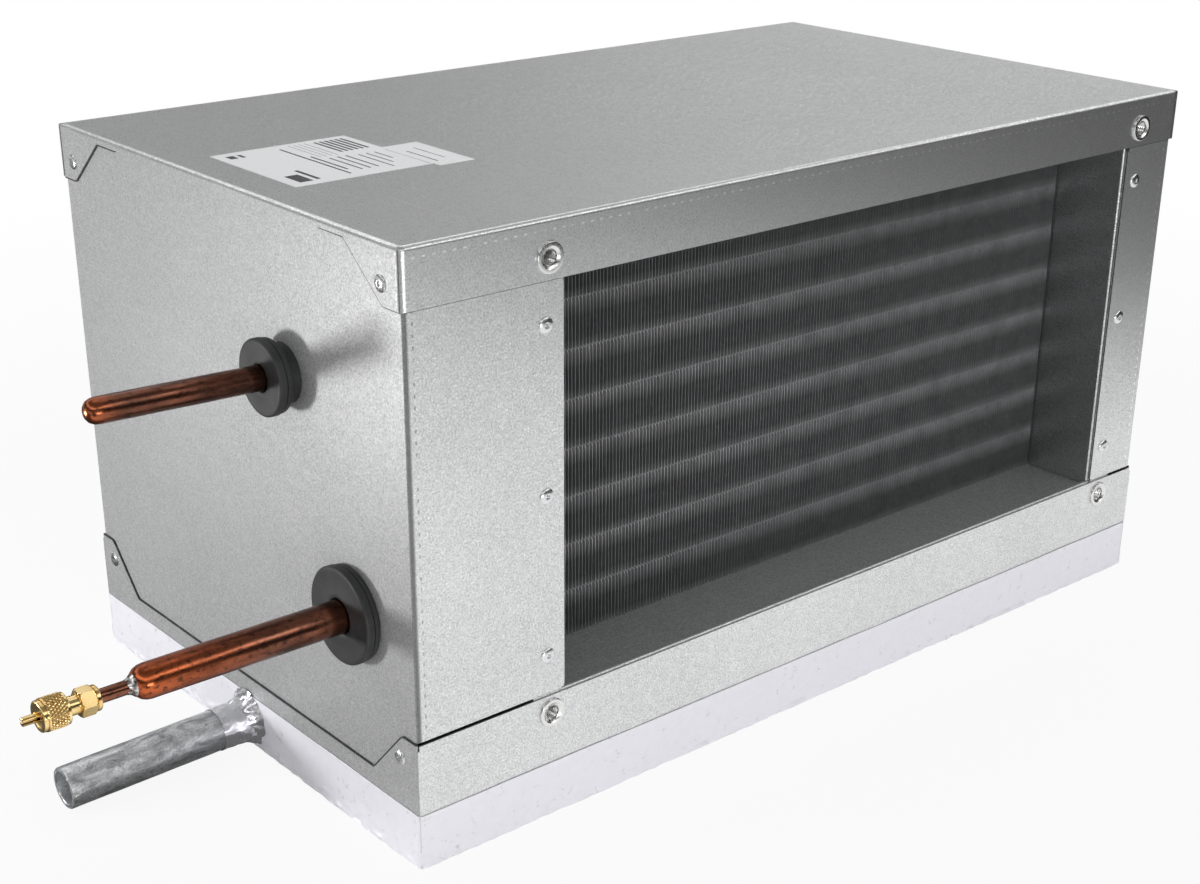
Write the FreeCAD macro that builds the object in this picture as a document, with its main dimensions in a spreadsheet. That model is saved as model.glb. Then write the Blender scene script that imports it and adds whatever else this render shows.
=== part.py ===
"""Duct cooling coil for a 400 x 200 mm rectangular air duct.

A folded galvanised casing holds a finned copper evaporator coil, three rows deep.
The origin is the centre of the air opening in the inlet plane: +X runs to the right
as seen from the inlet, +Y runs with the air, and +Z is up. All sizes are millimetres.
Small round pieces and the coil's tubes have flat sides; their number is a size too.
"""
import FreeCAD, Part
import math
import os
import re

import Sketcher

Vector = FreeCAD.Vector

doc = FreeCAD.newDocument("duct_cooling_coil")

# Driving sizes: alias, value, meaning
SIZES = [
    ("duct_width", 400, "clear width of the air opening"),
    ("duct_height", 200, "clear height of the air opening"),
    ("case_depth", 303, "length along the air stream"),
    ("left_bay", 86.5, "casing left of the opening, with the pipework"),
    ("right_bay", 41.5, "casing right of the opening, with the far bends"),
    ("sheet", 0.8, "thickness of the casing sheet"),
    ("lap_gap", 0.2, "gap between two sheets that lap"),
    ("fold_radius", 0.75, "outer radius of the top cover's folds"),
    ("bend_radius", 1.2, "outer radius of the other folded edges"),
    ("top_flange", 27, "height of the top cover's front and rear flanges"),
    ("top_side_strip", 3.6, "height of the top cover's side strips between the ears"),
    ("top_ear_width", 13.5, "width of the top cover's ears at their tips"),
    ("top_ear_reach", 41, "length of the top cover's ears at their roots"),
    ("tray_height", 38, "height of the drip tray's front and rear flanges"),
    ("tray_edge_drop", 1.0, "tray flange edge below the air opening"),
    ("tray_side_strip", 11.3, "height of the tray's side strips between the ears"),
    ("tray_ear_width", 12, "width of the tray's ears at their tips"),
    ("tray_ear_reach", 36.5, "length of the tray's ears at their roots"),
    ("ear_corner", 4, "corner radius of the ears"),
    ("seam_gap", 0.3, "open seam between the top cover's flanges and ears"),
    ("tray_seam", 0.15, "closed seam between the tray's flanges and ears"),
    ("relief_width", 1.2, "relief notch at the top of the tray's seams"),
    ("relief_height", 2.4, "relief notch at the top of the tray's seams"),
    ("insulation", 26, "thickness of the foam board under the tray"),
    ("tape_width", 28, "height of the foil tape band round the board"),
    ("tape_thickness", 0.3, "foil tape with its adhesive"),
    ("panel_setback", 1.5, "side panel flange edge back from the opening"),
    ("panel_corner", 3, "corner radius of the side panel flanges"),
    ("plate_flange", 22, "width of the coil end plates' flanges"),
    ("lip_height", 19, "height of the ceiling and floor plates' lips"),
    ("bolt_margin", 10, "bolt line outside the edge of the opening"),
    ("nut_bore_radius", 3.32, "minor radius of the M8 thread"),
    ("nut_flange_radius", 7.15, "rivet nut flange"),
    ("nut_flange_height", 1.2, "rivet nut flange"),
    ("nut_flats", 10.6, "rivet nut's hexagonal barrel across its flats"),
    ("nut_length", 13, "rivet nut barrel behind the flange"),
    ("nut_clearance", 0.1, "between the barrel and its hexagonal hole"),
    ("nut_sides", 12, "flat sides of the rivet nut's flange"),
    ("rivet_radius", 3.25, "blind rivet head"),
    ("rivet_height", 1.2, "blind rivet head"),
    ("rivet_edge", 0.8, "chamfer of a rivet head"),
    ("rivet_sides", 8, "flat sides of a rivet head"),
    ("flange_rivet_edge", 11.5, "rivet line outside the edge of the opening"),
    ("flange_rivet_pitch", 80, "height between the flange rivets"),
    ("ear_rivet_front", 14, "ear rivets from the casing's front face"),
    ("ear_rivet_rear", 12.7, "ear rivets from the casing's rear face"),
    ("ear_rivet_height", 17.5, "top ear rivets below the top face"),
    ("tray_rivet_height", 11, "tray ear rivets below the tray's edge"),
    ("fin_pitch", 2.15, "distance from fin to fin"),
    ("fin_thickness", 0.14, "aluminium foil of the fins"),
    ("fin_side_gap", 1.2, "first and last fin from the end plates"),
    ("coil_setback", 44.5, "front edges of the fins behind the inlet plane"),
    ("coil_drop", 2, "lower fin edges below the air opening"),
    ("row_pitch", 21.65, "distance between the tube rows along the air"),
    ("tube_pitch", 25, "least distance between the tubes of a row"),
    ("tube_rows", 3, "number of tube rows"),
    ("tube_radius", 4.76, "coil tube, 3/8 inch"),
    ("tube_sides", 8, "flat sides of a coil tube"),
    ("bend_steps", 2, "straight steps in a quarter turn of a bend"),
    ("tube_stub", 8, "coil tube past the end plate"),
    ("return_leg", 3, "straight legs of the return bends"),
    ("rear_plenum", 56, "droplet eliminator in front of the outlet plane"),
    ("eliminator_depth", 54, "droplet eliminator along the air"),
    ("blade_pitch", 30, "distance between the eliminator blades"),
    ("blade_thickness", 1.2, "eliminator blades"),
    ("blade_wave", 9, "sideways wave of the eliminator blades"),
    ("rail_height", 8, "flanges of the eliminator's rails"),
    ("slot_length", 110, "drain slots in the duct floor"),
    ("slot_width", 12, "drain slots in the duct floor"),
    ("slot_pitch", 130, "distance between the drain slots"),
    ("hem_width", 3, "hemmed front and rear edges of the duct floor"),
    ("header_radius", 11, "suction header"),
    ("header_wall", 1, "suction header"),
    ("header_sides", 16, "flat sides of the suction header"),
    ("header_setback", 44, "suction header from the end plate"),
    ("header_overrun", 13, "suction header past its first and last branches"),
    ("suction_radius", 8, "suction pipe, 16 mm copper"),
    ("suction_wall", 1, "suction pipe"),
    ("bore_sides", 12, "flat sides of the pipes' bores and of the pipes inside the casing"),
    ("pipe_margin", 1, "start of a pipe's round stretch outside its grommet or the casing"),
    ("suction_depth", 49.5, "suction pipe behind the inlet plane"),
    ("suction_level", -52.7, "suction pipe height from the opening's centre"),
    ("suction_reach", 110, "closed end of the suction pipe outside the casing"),
    ("liquid_radius", 6, "liquid pipe, 12 mm copper"),
    ("liquid_wall", 1, "liquid pipe"),
    ("liquid_depth", 96, "liquid pipe behind the inlet plane"),
    ("liquid_level", 49.2, "liquid pipe height from the opening's centre, at its grommet"),
    ("liquid_reach", 96, "closed end of the liquid pipe outside the casing"),
    ("liquid_rise", 2, "upward slope of the liquid pipe in degrees"),
    ("grommet_flange", 7.5, "rubber grommet outside the panel"),
    ("grommet_inner", 3, "rubber grommet inside the panel"),
    ("grommet_groove", 4, "depth of the grommet groove"),
    ("grommet_lip", 1, "inner lip of a grommet below its flange's radius"),
    ("grommet_clearance", 0.5, "between a pipe and its grommet"),
    ("grommet_sides", 20, "flat sides of a grommet"),
    ("suction_grommet_radius", 23.5, "grommet round the suction pipe"),
    ("liquid_grommet_radius", 18, "grommet round the liquid pipe"),
    ("liquid_grommet_standoff", 5.8, "liquid grommet's flange off the panel"),
    ("manifold_radius", 10.5, "liquid distributor at its outlet face"),
    ("manifold_length", 20, "liquid distributor"),
    ("manifold_rim", 5, "straight part at the distributor's outlet face"),
    ("manifold_taper", 10, "conical part of the distributor"),
    ("manifold_neck_radius", 8, "distributor at its inlet"),
    ("manifold_bore", 3, "chamber inside the distributor"),
    ("manifold_sides", 12, "flat sides of the distributor"),
    ("manifold_setback", 44, "distributor's outlet face from the end plate"),
    ("socket_clearance", 0.3, "between the liquid pipe and the distributor's socket"),
    ("capillary_radius", 2.4, "distributor tubes"),
    ("capillary_sides", 6, "flat sides of a distributor tube"),
    ("capillary_spread", 3.2, "distributor tubes beside and above the distributor's axis"),
    ("capillary_stub", 2, "straight start of a distributor tube"),
    ("capillary_bend", 8, "bend radius of the distributor tubes"),
    ("capillary_gap", 5.8, "distance between two distributor tubes that run up side by side"),
    ("drain_radius", 10.65, "drain pipe, half inch steel"),
    ("drain_wall", 2.25, "drain pipe"),
    ("drain_neck_radius", 9.5, "upright neck of the drain pipe"),
    ("neck_sides", 12, "flat sides of the drain pipe's neck"),
    ("drain_reach", 102, "drain pipe outside the casing"),
    ("drain_inset", 38, "drain hole inside the casing"),
    ("drain_fall", 1.5, "downward slope of the drain pipe in degrees"),
    ("drain_drop", 12, "drain pipe axis below the tray at the casing wall"),
    ("service_radius", 3.175, "service tube, quarter inch copper"),
    ("service_wall", 0.8, "service tube"),
    ("service_length", 14.3, "service tube between the pipe's tip and the valve"),
    ("service_insert", 3.5, "service tube inside the suction pipe"),
    ("socket_depth", 4.5, "tube inside the valve, and pipe inside the distributor"),
    ("valve_sides", 16, "flat sides of the round valve parts"),
    ("collar_radius", 6.4, "round collar of the service valve"),
    ("collar_length", 2.1, "round collar of the service valve"),
    ("hex_flats", 12.6, "service valve hexagon across its flats"),
    ("hex_length", 7, "service valve hexagon"),
    ("neck_radius", 4.2, "service valve neck"),
    ("neck_length", 4.9, "service valve neck"),
    ("nose_radius", 5.4, "service valve thread"),
    ("nose_length", 8.8, "service valve thread"),
    ("nose_mouth", 3.4, "radius of the service valve's mouth"),
    ("nose_edge", 1.2, "chamfer at the end of the service valve's thread"),
    ("cap_radius", 7.5, "valve cap"),
    ("cap_length", 12.2, "valve cap"),
    ("cap_clearance", 0.3, "between the valve thread and the cap"),
    ("cap_edge", 0.9, "chamfer of the valve cap"),
    ("prong_radius", 2, "core key on the valve cap"),
    ("prong_length", 6.9, "core key on the valve cap"),
    ("prong_slot", 1.3, "slot between the core key's prongs"),
    ("prong_slot_depth", 4.6, "slot between the core key's prongs"),
    ("gasket_thickness", 1.2, "seal ring in the valve cap"),
    ("gasket_bore", 1.7, "hole in the seal ring"),
    ("core_radius", 2.5, "valve core"),
    ("core_length", 8, "valve core"),
    ("core_setback", 2.2, "valve core inside the valve's mouth"),
    ("pin_radius", 0.8, "valve core pin"),
    ("pin_clearance", 0.3, "between the core pin and the core"),
    ("pin_disc_radius", 1.9, "valve disc on the core pin"),
    ("pin_disc_thickness", 0.9, "valve disc on the core pin"),
    ("pin_sides", 8, "flat sides of the core pin and the cap's key"),
    ("label_thickness", 0.15, "paper label"),
    ("label_inset", 22, "label from the casing's left edge"),
    ("label_width", 75, "main part of the label"),
    ("label_start", 112, "label from the casing's front edge"),
    ("label_length", 77, "main part of the label"),
    ("stub_label_width", 20, "narrow part of the label"),
    ("stub_label_length", 48, "narrow part of the label"),
    ("stub_label_lead", 5, "narrow part of the label ahead of its main part"),
]

sheet = doc.addObject("Spreadsheet::Sheet", "Sizes")
for row, (alias, number, meaning) in enumerate(SIZES, start=1):
    sheet.set(f"A{row}", alias.replace("_", " "))
    sheet.set(f"B{row}", str(number))
    sheet.set(f"C{row}", meaning)
    sheet.setAlias(f"B{row}", alias)
doc.recompute()

# Positions that follow from the sizes, in the order in which they build on each other
LAYOUT = [
    ("case_left", "-duct_width / 2 - left_bay"),
    ("case_right", "duct_width / 2 + right_bay"),
    ("case_top", "duct_height / 2 + top_flange"),
    ("tray_edge", "-duct_height / 2 - tray_edge_drop"),
    ("tray_base", "tray_edge - tray_height"),
    ("case_base", "tray_base - insulation"),
    ("lap", "sheet + lap_gap"),
    ("duct_edge", "duct_width / 2"),
    ("duct_top", "duct_height / 2"),
    ("duct_base", "-duct_height / 2"),
    ("floor_level", "duct_base - coil_drop - lap_gap"),
    ("hem_end", "lap + hem_width + sheet"),
    ("plate_web", "duct_edge + sheet"),
    ("plate_front", "2 * lap"),
    ("bend_end", "lap + bend_radius + lap_gap"),
    ("bolt_x", "duct_edge + bolt_margin"),
    ("bolt_z", "duct_top + bolt_margin"),
    ("fin_base", "duct_base - coil_drop"),
    ("fin_height", "duct_height"),
    ("tubes_per_row", "2 * floor(fin_height / (2 * tube_pitch))"),
    ("tube_spacing", "fin_height / tubes_per_row"),
    ("front_row_lift", "3 * tube_spacing / 4"),
    ("fin_depth", "tube_rows * row_pitch"),
    ("front_row", "coil_setback + row_pitch / 2"),
    ("tube_end", "plate_web + tube_stub"),
    ("header_x", "-plate_web - header_setback"),
    ("panel_face", "case_left + lap"),
    ("eliminator_end", "case_depth - rear_plenum"),
    ("eliminator_front", "eliminator_end - eliminator_depth"),
    ("suction_tip", "case_left - suction_reach"),
    ("suction_face", "suction_tip + suction_radius * (1 - sin(60 deg))"),
    ("valve_start", "suction_tip - service_length"),
    ("hex_start", "valve_start - collar_length"),
    ("neck_start", "hex_start - hex_length"),
    ("nose_start", "neck_start - neck_length"),
    ("nose_end", "nose_start - nose_length"),
    ("core_start", "nose_end + core_setback"),
    ("core_end", "core_start + core_length"),
    ("cap_start", "nose_start - lap_gap"),
    ("cap_end", "cap_start - cap_length"),
    ("gasket_start", "nose_end - lap_gap - gasket_thickness"),
    ("manifold_face", "-plate_web - manifold_setback"),
    ("liquid_cross", "panel_face - liquid_grommet_standoff"),
    ("manifold_level", "liquid_level - (manifold_face - liquid_cross) * tan(liquid_rise * 1 deg)"),
    ("liquid_run", "(manifold_face - case_left + liquid_reach) / cos(liquid_rise * 1 deg)"),
    ("drain_x", "case_left + drain_inset"),
    ("drain_neck_level", "tray_base - drain_drop + drain_inset * tan(drain_fall * 1 deg)"),
]

layout = doc.addObject("App::VarSet", "Layout")
size_names = {alias for alias, number, meaning in SIZES}
place_names = {name for name, formula in LAYOUT}


def expression(text):
    """Point each plain name in a formula at the sheet or at the layout."""

    def full_name(match):
        word = match.group(0)
        if word in size_names:
            return "Sizes." + word
        if word in place_names:
            return "Layout." + word
        return word

    return re.sub(r"[a-z][a-z_]+", full_name, str(text))


for name, formula in LAYOUT:
    layout.addProperty("App::PropertyFloat", name, "Layout", "")
    layout.setExpression(name, expression(formula))
doc.recompute()


def value(text):
    """The present value of a formula."""
    return float(layout.evalExpression(expression(text)))


def bind(item, **formulas):
    """Bind properties to formulas; a double underscore stands for a dot."""
    for prop, formula in formulas.items():
        item.setExpression(prop.replace("__", "."), expression(formula))


PLANES = {"XY": "XY_Plane", "XZ": "XZ_Plane", "YZ": "YZ_Plane"}


def new_body(label):
    body = doc.addObject("PartDesign::Body", label)
    body.Label = label
    return body


def attach(item, body, plane, offset):
    """Put a sketch or a primitive on an origin plane, moved along +Z, +Y or +X by the offset."""
    for feature in body.Origin.OriginFeatures:
        if feature.Role == PLANES[plane]:
            item.AttachmentSupport = [(feature, "")]
    item.MapMode = "FlatFace"
    sign = "-1" if plane == "XZ" else "1"
    bind(item, AttachmentOffset__Base__z=f"{sign} * ({offset})")


def new_sketch(body, plane, offset):
    sketch = body.newObject("Sketcher::SketchObject", "profile")
    attach(sketch, body, plane, offset)
    return sketch


def add_outline(sketch, corners):
    """A closed outline of straight lines through corners given as formulas."""
    spots = [Vector(value(a), value(b), 0) for a, b in corners]
    count = len(spots)
    first = sketch.GeometryCount
    for i in range(count):
        sketch.addGeometry(Part.LineSegment(spots[i], spots[(i + 1) % count]), False)
    for i in range(count):
        following = first + (i + 1) % count
        sketch.addConstraint(Sketcher.Constraint("Coincident", first + i, 2, following, 1))
    for i, (across, up) in enumerate(corners):
        for kind, formula in (("DistanceX", across), ("DistanceY", up)):
            distance = value(formula)
            index = sketch.addConstraint(Sketcher.Constraint(kind, -1, 1, first + i, 1, distance))
            sketch.setExpression(f"Constraints[{index}]", expression(formula))


def add_circle(sketch, across, up, radius):
    """A circle whose centre and radius are formulas."""
    centre = Vector(value(across), value(up), 0)
    index = sketch.addGeometry(Part.Circle(centre, Vector(0, 0, 1), value(radius)), False)
    for kind, formula in (("DistanceX", across), ("DistanceY", up)):
        number = sketch.addConstraint(Sketcher.Constraint(kind, -1, 1, index, 3, value(formula)))
        sketch.setExpression(f"Constraints[{number}]", expression(formula))
    number = sketch.addConstraint(Sketcher.Constraint("Radius", index, value(radius)))
    sketch.setExpression(f"Constraints[{number}]", expression(radius))


def check_cut(body, before):
    if body.Shape.Volume >= before:
        raise RuntimeError(f"a cut in {body.Label} took nothing away")


def pad(body, plane, start, end, corners):
    """Pad an outline from start to end along the plane's +Z, +Y or +X side."""
    sketch = new_sketch(body, plane, start)
    add_outline(sketch, corners)
    feature = body.newObject("PartDesign::Pad", "pad")
    feature.Profile = sketch
    feature.Reversed = plane == "XZ"
    bind(feature, Length=f"({end}) - ({start})")
    doc.recompute()


def cut_holes(body, plane, start, end, outlines=(), circles=()):
    """Cut outlines and circles out of a body from start to end."""
    before = body.Shape.Volume
    sketch = new_sketch(body, plane, start)
    for corners in outlines:
        add_outline(sketch, corners)
    for across, up, radius in circles:
        add_circle(sketch, across, up, radius)
    feature = body.newObject("PartDesign::Pocket", "pocket")
    feature.Profile = sketch
    feature.Reversed = plane != "XZ"
    bind(feature, Length=f"({end}) - ({start})")
    doc.recompute()
    check_cut(body, before)


def prism(body, start, end, radius, sides, across="0", up="0"):
    """Add a regular prism along X from start to end; its radius is that of its corners."""
    item = body.newObject("PartDesign::AdditivePrism", "prism")
    attach(item, body, "YZ", start)
    bind(item, AttachmentOffset__Base__x=across, AttachmentOffset__Base__y=up)
    bind(item, Polygon=sides, Circumradius=radius, Height=f"({end}) - ({start})")
    doc.recompute()


def cut_prism(body, start, end, radius, sides, across="0", up="0"):
    """Cut a regular prism along X out of a body, from start to end."""
    before = body.Shape.Volume
    item = body.newObject("PartDesign::SubtractivePrism", "prism_cut")
    attach(item, body, "YZ", start)
    bind(item, AttachmentOffset__Base__x=across, AttachmentOffset__Base__y=up)
    bind(item, Polygon=sides, Circumradius=radius, Height=f"({end}) - ({start})")
    doc.recompute()
    check_cut(body, before)


def rectangle(low_a, high_a, low_b, high_b):
    return [(low_a, low_b), (high_a, low_b), (high_a, high_b), (low_a, high_b)]


def hexagon(flats, across="0", up="0"):
    """A hexagon of a given size across its flats, with two corners level with its centre."""
    corner = f"({flats}) / sqrt(3)"
    return [
        (f"{across} + {corner}", up),
        (f"{across} + {corner} / 2", f"{up} + ({flats}) / 2"),
        (f"{across} - {corner} / 2", f"{up} + ({flats}) / 2"),
        (f"{across} - {corner}", up),
        (f"{across} - {corner} / 2", f"{up} - ({flats}) / 2"),
        (f"{across} + {corner} / 2", f"{up} - ({flats}) / 2"),
    ]


def near(a, b):
    return abs(a - b) < 0.001


def edge_along(edge, axis):
    """Whether an edge runs along the axis with this index."""
    if not isinstance(edge.Curve, Part.Line):
        return False
    return abs(abs(edge.Curve.Direction[axis]) - 1) < 0.0001


def picked_edges(body, wanted):
    edges = enumerate(body.Shape.Edges, start=1)
    return [f"Edge{number}" for number, edge in edges if wanted(edge)]


def round_edges(body, radius, wanted):
    """Fillet the edges of a body that the wanted function picks."""
    names = picked_edges(body, wanted)
    last_feature = body.Tip
    fillet = body.newObject("PartDesign::Fillet", "fillet")
    fillet.Base = (last_feature, names)
    bind(fillet, Radius=radius)
    doc.recompute()


def chamfer_end(body, x, along, inward):
    """Chamfer all edges of the flat end at x, by a length along the axis and one inward."""
    names = picked_edges(body, lambda edge: all(near(vertex.X, value(x)) for vertex in edge.Vertexes))
    last_feature = body.Tip
    chamfer = body.newObject("PartDesign::Chamfer", "chamfer")
    chamfer.Base = (last_feature, names)
    chamfer.ChamferType = "Two distances"
    bind(chamfer, Size=along, Size2=inward)
    doc.recompute()


def place(item, x, y, z, tilt=0):
    """Bind an object's place, and its tilt about +Y in degrees."""
    item.Placement.Rotation = FreeCAD.Rotation(Vector(0, 1, 0), value(tilt))
    bind(item, Placement__Base__x=x, Placement__Base__y=y, Placement__Base__z=z)
    if tilt:
        bind(item, Placement__Rotation__Angle=tilt)
    doc.recompute()


def turned_body(label, half_profile, x, y, z, tilt=0):
    """A profile of (x, radius) formulas, turned about the X axis."""
    body = new_body(label)
    sketch = new_sketch(body, "XZ", 0)
    add_outline(sketch, half_profile)
    feature = body.newObject("PartDesign::Revolution", "revolution")
    feature.Profile = sketch
    feature.ReferenceAxis = (sketch, ["H_Axis"])
    feature.Angle = 360
    place(body, x, y, z, tilt)
    return body


def primitive(kind, x, y, z, tilt=0, **sizes):
    """A Part primitive at a point; a tilt of -90 degrees lays a cylinder along -X."""
    item = doc.addObject(f"Part::{kind}", kind.lower())
    bind(item, **sizes)
    place(item, x, y, z, tilt)
    return item


def boolean(kind, label, base, tools):
    """A Part::Cut of the joined tools from the base, or a Part::MultiFuse of them all."""
    item = doc.addObject(f"Part::{kind}", label)
    item.Label = label
    if kind == "Cut":
        item.Base = base
        item.Tool = tools[0] if len(tools) == 1 else boolean("MultiFuse", f"{label}_tools", None, tools)
    else:
        item.Shapes = tools
    doc.recompute()
    return item


def shape_node(label, solids):
    """A sub-part of several solids, which are worked out here from the sheet's sizes."""
    feature = doc.addObject("Part::Feature", label)
    feature.Label = label
    feature.Shape = Part.makeCompound(solids)
    feature.Placement = FreeCAD.Placement()


def copies(master, places):
    """Copies of a body's solid: each place is a point and a rotation of its +X axis."""
    solids = []
    for point, rotation in places:
        solid = master.Shape.Solids[0].copy()
        solid.Placement = FreeCAD.Placement(point, rotation)
        solids.append(solid)
    return solids


def rounded(points, bend_radius):
    """A path's points with each corner replaced by the straight steps of an arc."""
    steps = int(value("bend_steps"))
    path = points[:1]
    for before, corner, after in zip(points, points[1:], points[2:]):
        back = Vector(before - corner).normalize()
        ahead = Vector(after - corner).normalize()
        turn = math.pi - back.getAngle(ahead)
        start = corner + back * bend_radius * math.tan(turn / 2)
        centre = corner + Vector(back + ahead).normalize() * (bend_radius / math.cos(turn / 2))
        axis = ahead.cross(back)
        count = max(1, round(steps * turn / (math.pi / 2)))
        for i in range(count + 1):
            step = FreeCAD.Rotation(axis, math.degrees(turn) * i / count)
            point = centre + step.multVec(start - centre)
            if (point - path[-1]).Length > 0.001:
                path.append(point)
    return path + points[-1:]


def flat_sided_bar(path, radius, sides, towards):
    """A regular section swept along a path with mitred corners; one side points towards a vector."""
    ahead = path[1] - path[0]
    first = Vector(towards).normalize() * radius
    turns = [FreeCAD.Rotation(ahead, 360 * i / sides) for i in range(sides + 1)]
    section = Part.makePolygon([path[0] + turn.multVec(first) for turn in turns])
    mitred = 1
    return Part.makePolygon(path).makePipeShell([section], True, False, mitred)


# Top cover: a shallow folded lid with riveted ears at its four corners
top_cover = new_body("top_cover")
pad(top_cover, "XY", "case_top - sheet", "case_top", rectangle("case_left", "case_right", "0", "case_depth"))
for start, end in (("0", "sheet"), ("case_depth - sheet", "case_depth")):
    pad(top_cover, "XZ", start, end, rectangle("case_left", "case_right", "duct_top", "case_top"))
ear_start = "sheet + seam_gap"
ear_end = "case_depth - sheet - seam_gap"
top_ear = [
    (ear_start, "case_top"),
    (ear_start, "duct_top"),
    ("top_ear_width", "duct_top"),
    ("top_ear_reach", "case_top - top_side_strip"),
    ("case_depth - top_ear_reach", "case_top - top_side_strip"),
    ("case_depth - top_ear_width", "duct_top"),
    (ear_end, "duct_top"),
    (ear_end, "case_top"),
]
for start, end in (("case_left", "case_left + sheet"), ("case_right - sheet", "case_right")):
    pad(top_cover, "YZ", start, end, top_ear)


def is_top_ear_tip(edge):
    at = edge.CenterOfMass
    width = value("top_ear_width")
    front_or_rear = near(at.y, width) or near(at.y, value("case_depth") - width)
    return edge_along(edge, 0) and front_or_rear and near(at.z, value("duct_top"))


def is_top_fold(edge):
    at = edge.CenterOfMass
    if not near(at.z, value("case_top")):
        return False
    front_or_rear = near(at.y, 0) or near(at.y, value("case_depth"))
    side = near(at.x, value("case_left")) or near(at.x, value("case_right"))
    return (edge_along(edge, 0) and front_or_rear) or (edge_along(edge, 1) and side)


round_edges(top_cover, "ear_corner", is_top_ear_tip)
round_edges(top_cover, "fold_radius", is_top_fold)
nut_hole = "nut_flats + 2 * nut_clearance"
top_nut_holes = [hexagon(nut_hole, "-bolt_x", "bolt_z"), hexagon(nut_hole, "bolt_x", "bolt_z")]
cut_holes(top_cover, "XZ", "0", "sheet", outlines=top_nut_holes)
cut_holes(top_cover, "XZ", "case_depth - sheet", "case_depth", outlines=top_nut_holes)

# Drip tray: the folded bottom of the casing, which catches the condensate
tray = new_body("drip_tray")
pad(tray, "XY", "tray_base", "tray_base + sheet", rectangle("case_left", "case_right", "0", "case_depth"))
tray_flange = [
    ("case_left", "tray_base"),
    ("case_right", "tray_base"),
    ("case_right", "tray_edge - relief_height"),
    ("case_right - relief_width", "tray_edge - relief_height"),
    ("case_right - relief_width", "tray_edge"),
    ("case_left + relief_width", "tray_edge"),
    ("case_left + relief_width", "tray_edge - relief_height"),
    ("case_left", "tray_edge - relief_height"),
]
for start, end in (("0", "sheet"), ("case_depth - sheet", "case_depth")):
    pad(tray, "XZ", start, end, tray_flange)
tray_ear_start = "sheet + tray_seam"
tray_ear_end = "case_depth - sheet - tray_seam"
tray_ear = [
    (tray_ear_start, "tray_base"),
    (tray_ear_end, "tray_base"),
    (tray_ear_end, "tray_edge"),
    ("case_depth - tray_ear_width", "tray_edge"),
    ("case_depth - tray_ear_reach", "tray_base + tray_side_strip"),
    ("tray_ear_reach", "tray_base + tray_side_strip"),
    ("tray_ear_width", "tray_edge"),
    (tray_ear_start, "tray_edge"),
]
for start, end in (("case_left", "case_left + sheet"), ("case_right - sheet", "case_right")):
    pad(tray, "YZ", start, end, tray_ear)


def is_tray_ear_tip(edge):
    at = edge.CenterOfMass
    width = value("tray_ear_width")
    front_or_rear = near(at.y, width) or near(at.y, value("case_depth") - width)
    return edge_along(edge, 0) and front_or_rear and near(at.z, value("tray_edge"))


round_edges(tray, "ear_corner", is_tray_ear_tip)
low_nut_holes = [hexagon(nut_hole, "-bolt_x", "-bolt_z"), hexagon(nut_hole, "bolt_x", "-bolt_z")]
cut_holes(tray, "XZ", "0", "sheet", outlines=low_nut_holes)
cut_holes(tray, "XZ", "case_depth - sheet", "case_depth", outlines=low_nut_holes)
drain_hole = [("drain_x", "case_depth / 2", "drain_neck_radius - drain_wall")]
cut_holes(tray, "XY", "tray_base", "tray_base + sheet", circles=drain_hole)

# Side panels: folded channels inside the lid and the tray
panel_top = "case_top - lap"
panel_base = "tray_base + lap"
flange_top = "duct_top - lap_gap"


def side_panel(label, outer, inner, flange_edge):
    """A flat side with a front and a rear flange, relieved above and below their bends."""
    body = new_body(label)
    low, high = (outer, inner) if value(outer) < value(inner) else (inner, outer)
    pad(body, "YZ", low, high, rectangle("bend_end", "case_depth - bend_end", panel_base, panel_top))
    pad(body, "YZ", low, high, rectangle("lap", "case_depth - lap", f"-({flange_top})", flange_top))
    low, high = (outer, flange_edge) if value(outer) < value(flange_edge) else (flange_edge, outer)
    flange = rectangle(low, high, f"-({flange_top})", flange_top)
    pad(body, "XZ", "lap", "lap + sheet", flange)
    pad(body, "XZ", "case_depth - lap - sheet", "case_depth - lap", flange)

    def is_flange_corner(edge):
        at = edge.CenterOfMass
        return edge_along(edge, 1) and near(at.x, value(flange_edge)) and near(abs(at.z), value(flange_top))

    def is_panel_fold(edge):
        at = edge.CenterOfMass
        front_or_rear = near(at.y, value("lap")) or near(at.y, value("case_depth - lap"))
        return edge_along(edge, 2) and near(at.x, value(outer)) and front_or_rear

    round_edges(body, "panel_corner", is_flange_corner)
    round_edges(body, "bend_radius", is_panel_fold)
    return body


left_panel = side_panel("left_side_panel", "panel_face", "panel_face + sheet", "-duct_edge - panel_setback")
side_panel("right_side_panel", "case_right - lap", "case_right - lap - sheet", "duct_edge + panel_setback")
suction_at = ("suction_depth", "suction_level")
liquid_at = ("liquid_depth", "liquid_level")
for radius, centre in (("suction_grommet_radius", suction_at), ("liquid_grommet_radius", liquid_at)):
    hole = f"{radius} - grommet_groove + lap_gap"
    cut_prism(left_panel, "panel_face", "panel_face + sheet", hole, "grommet_sides", *centre)


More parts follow.
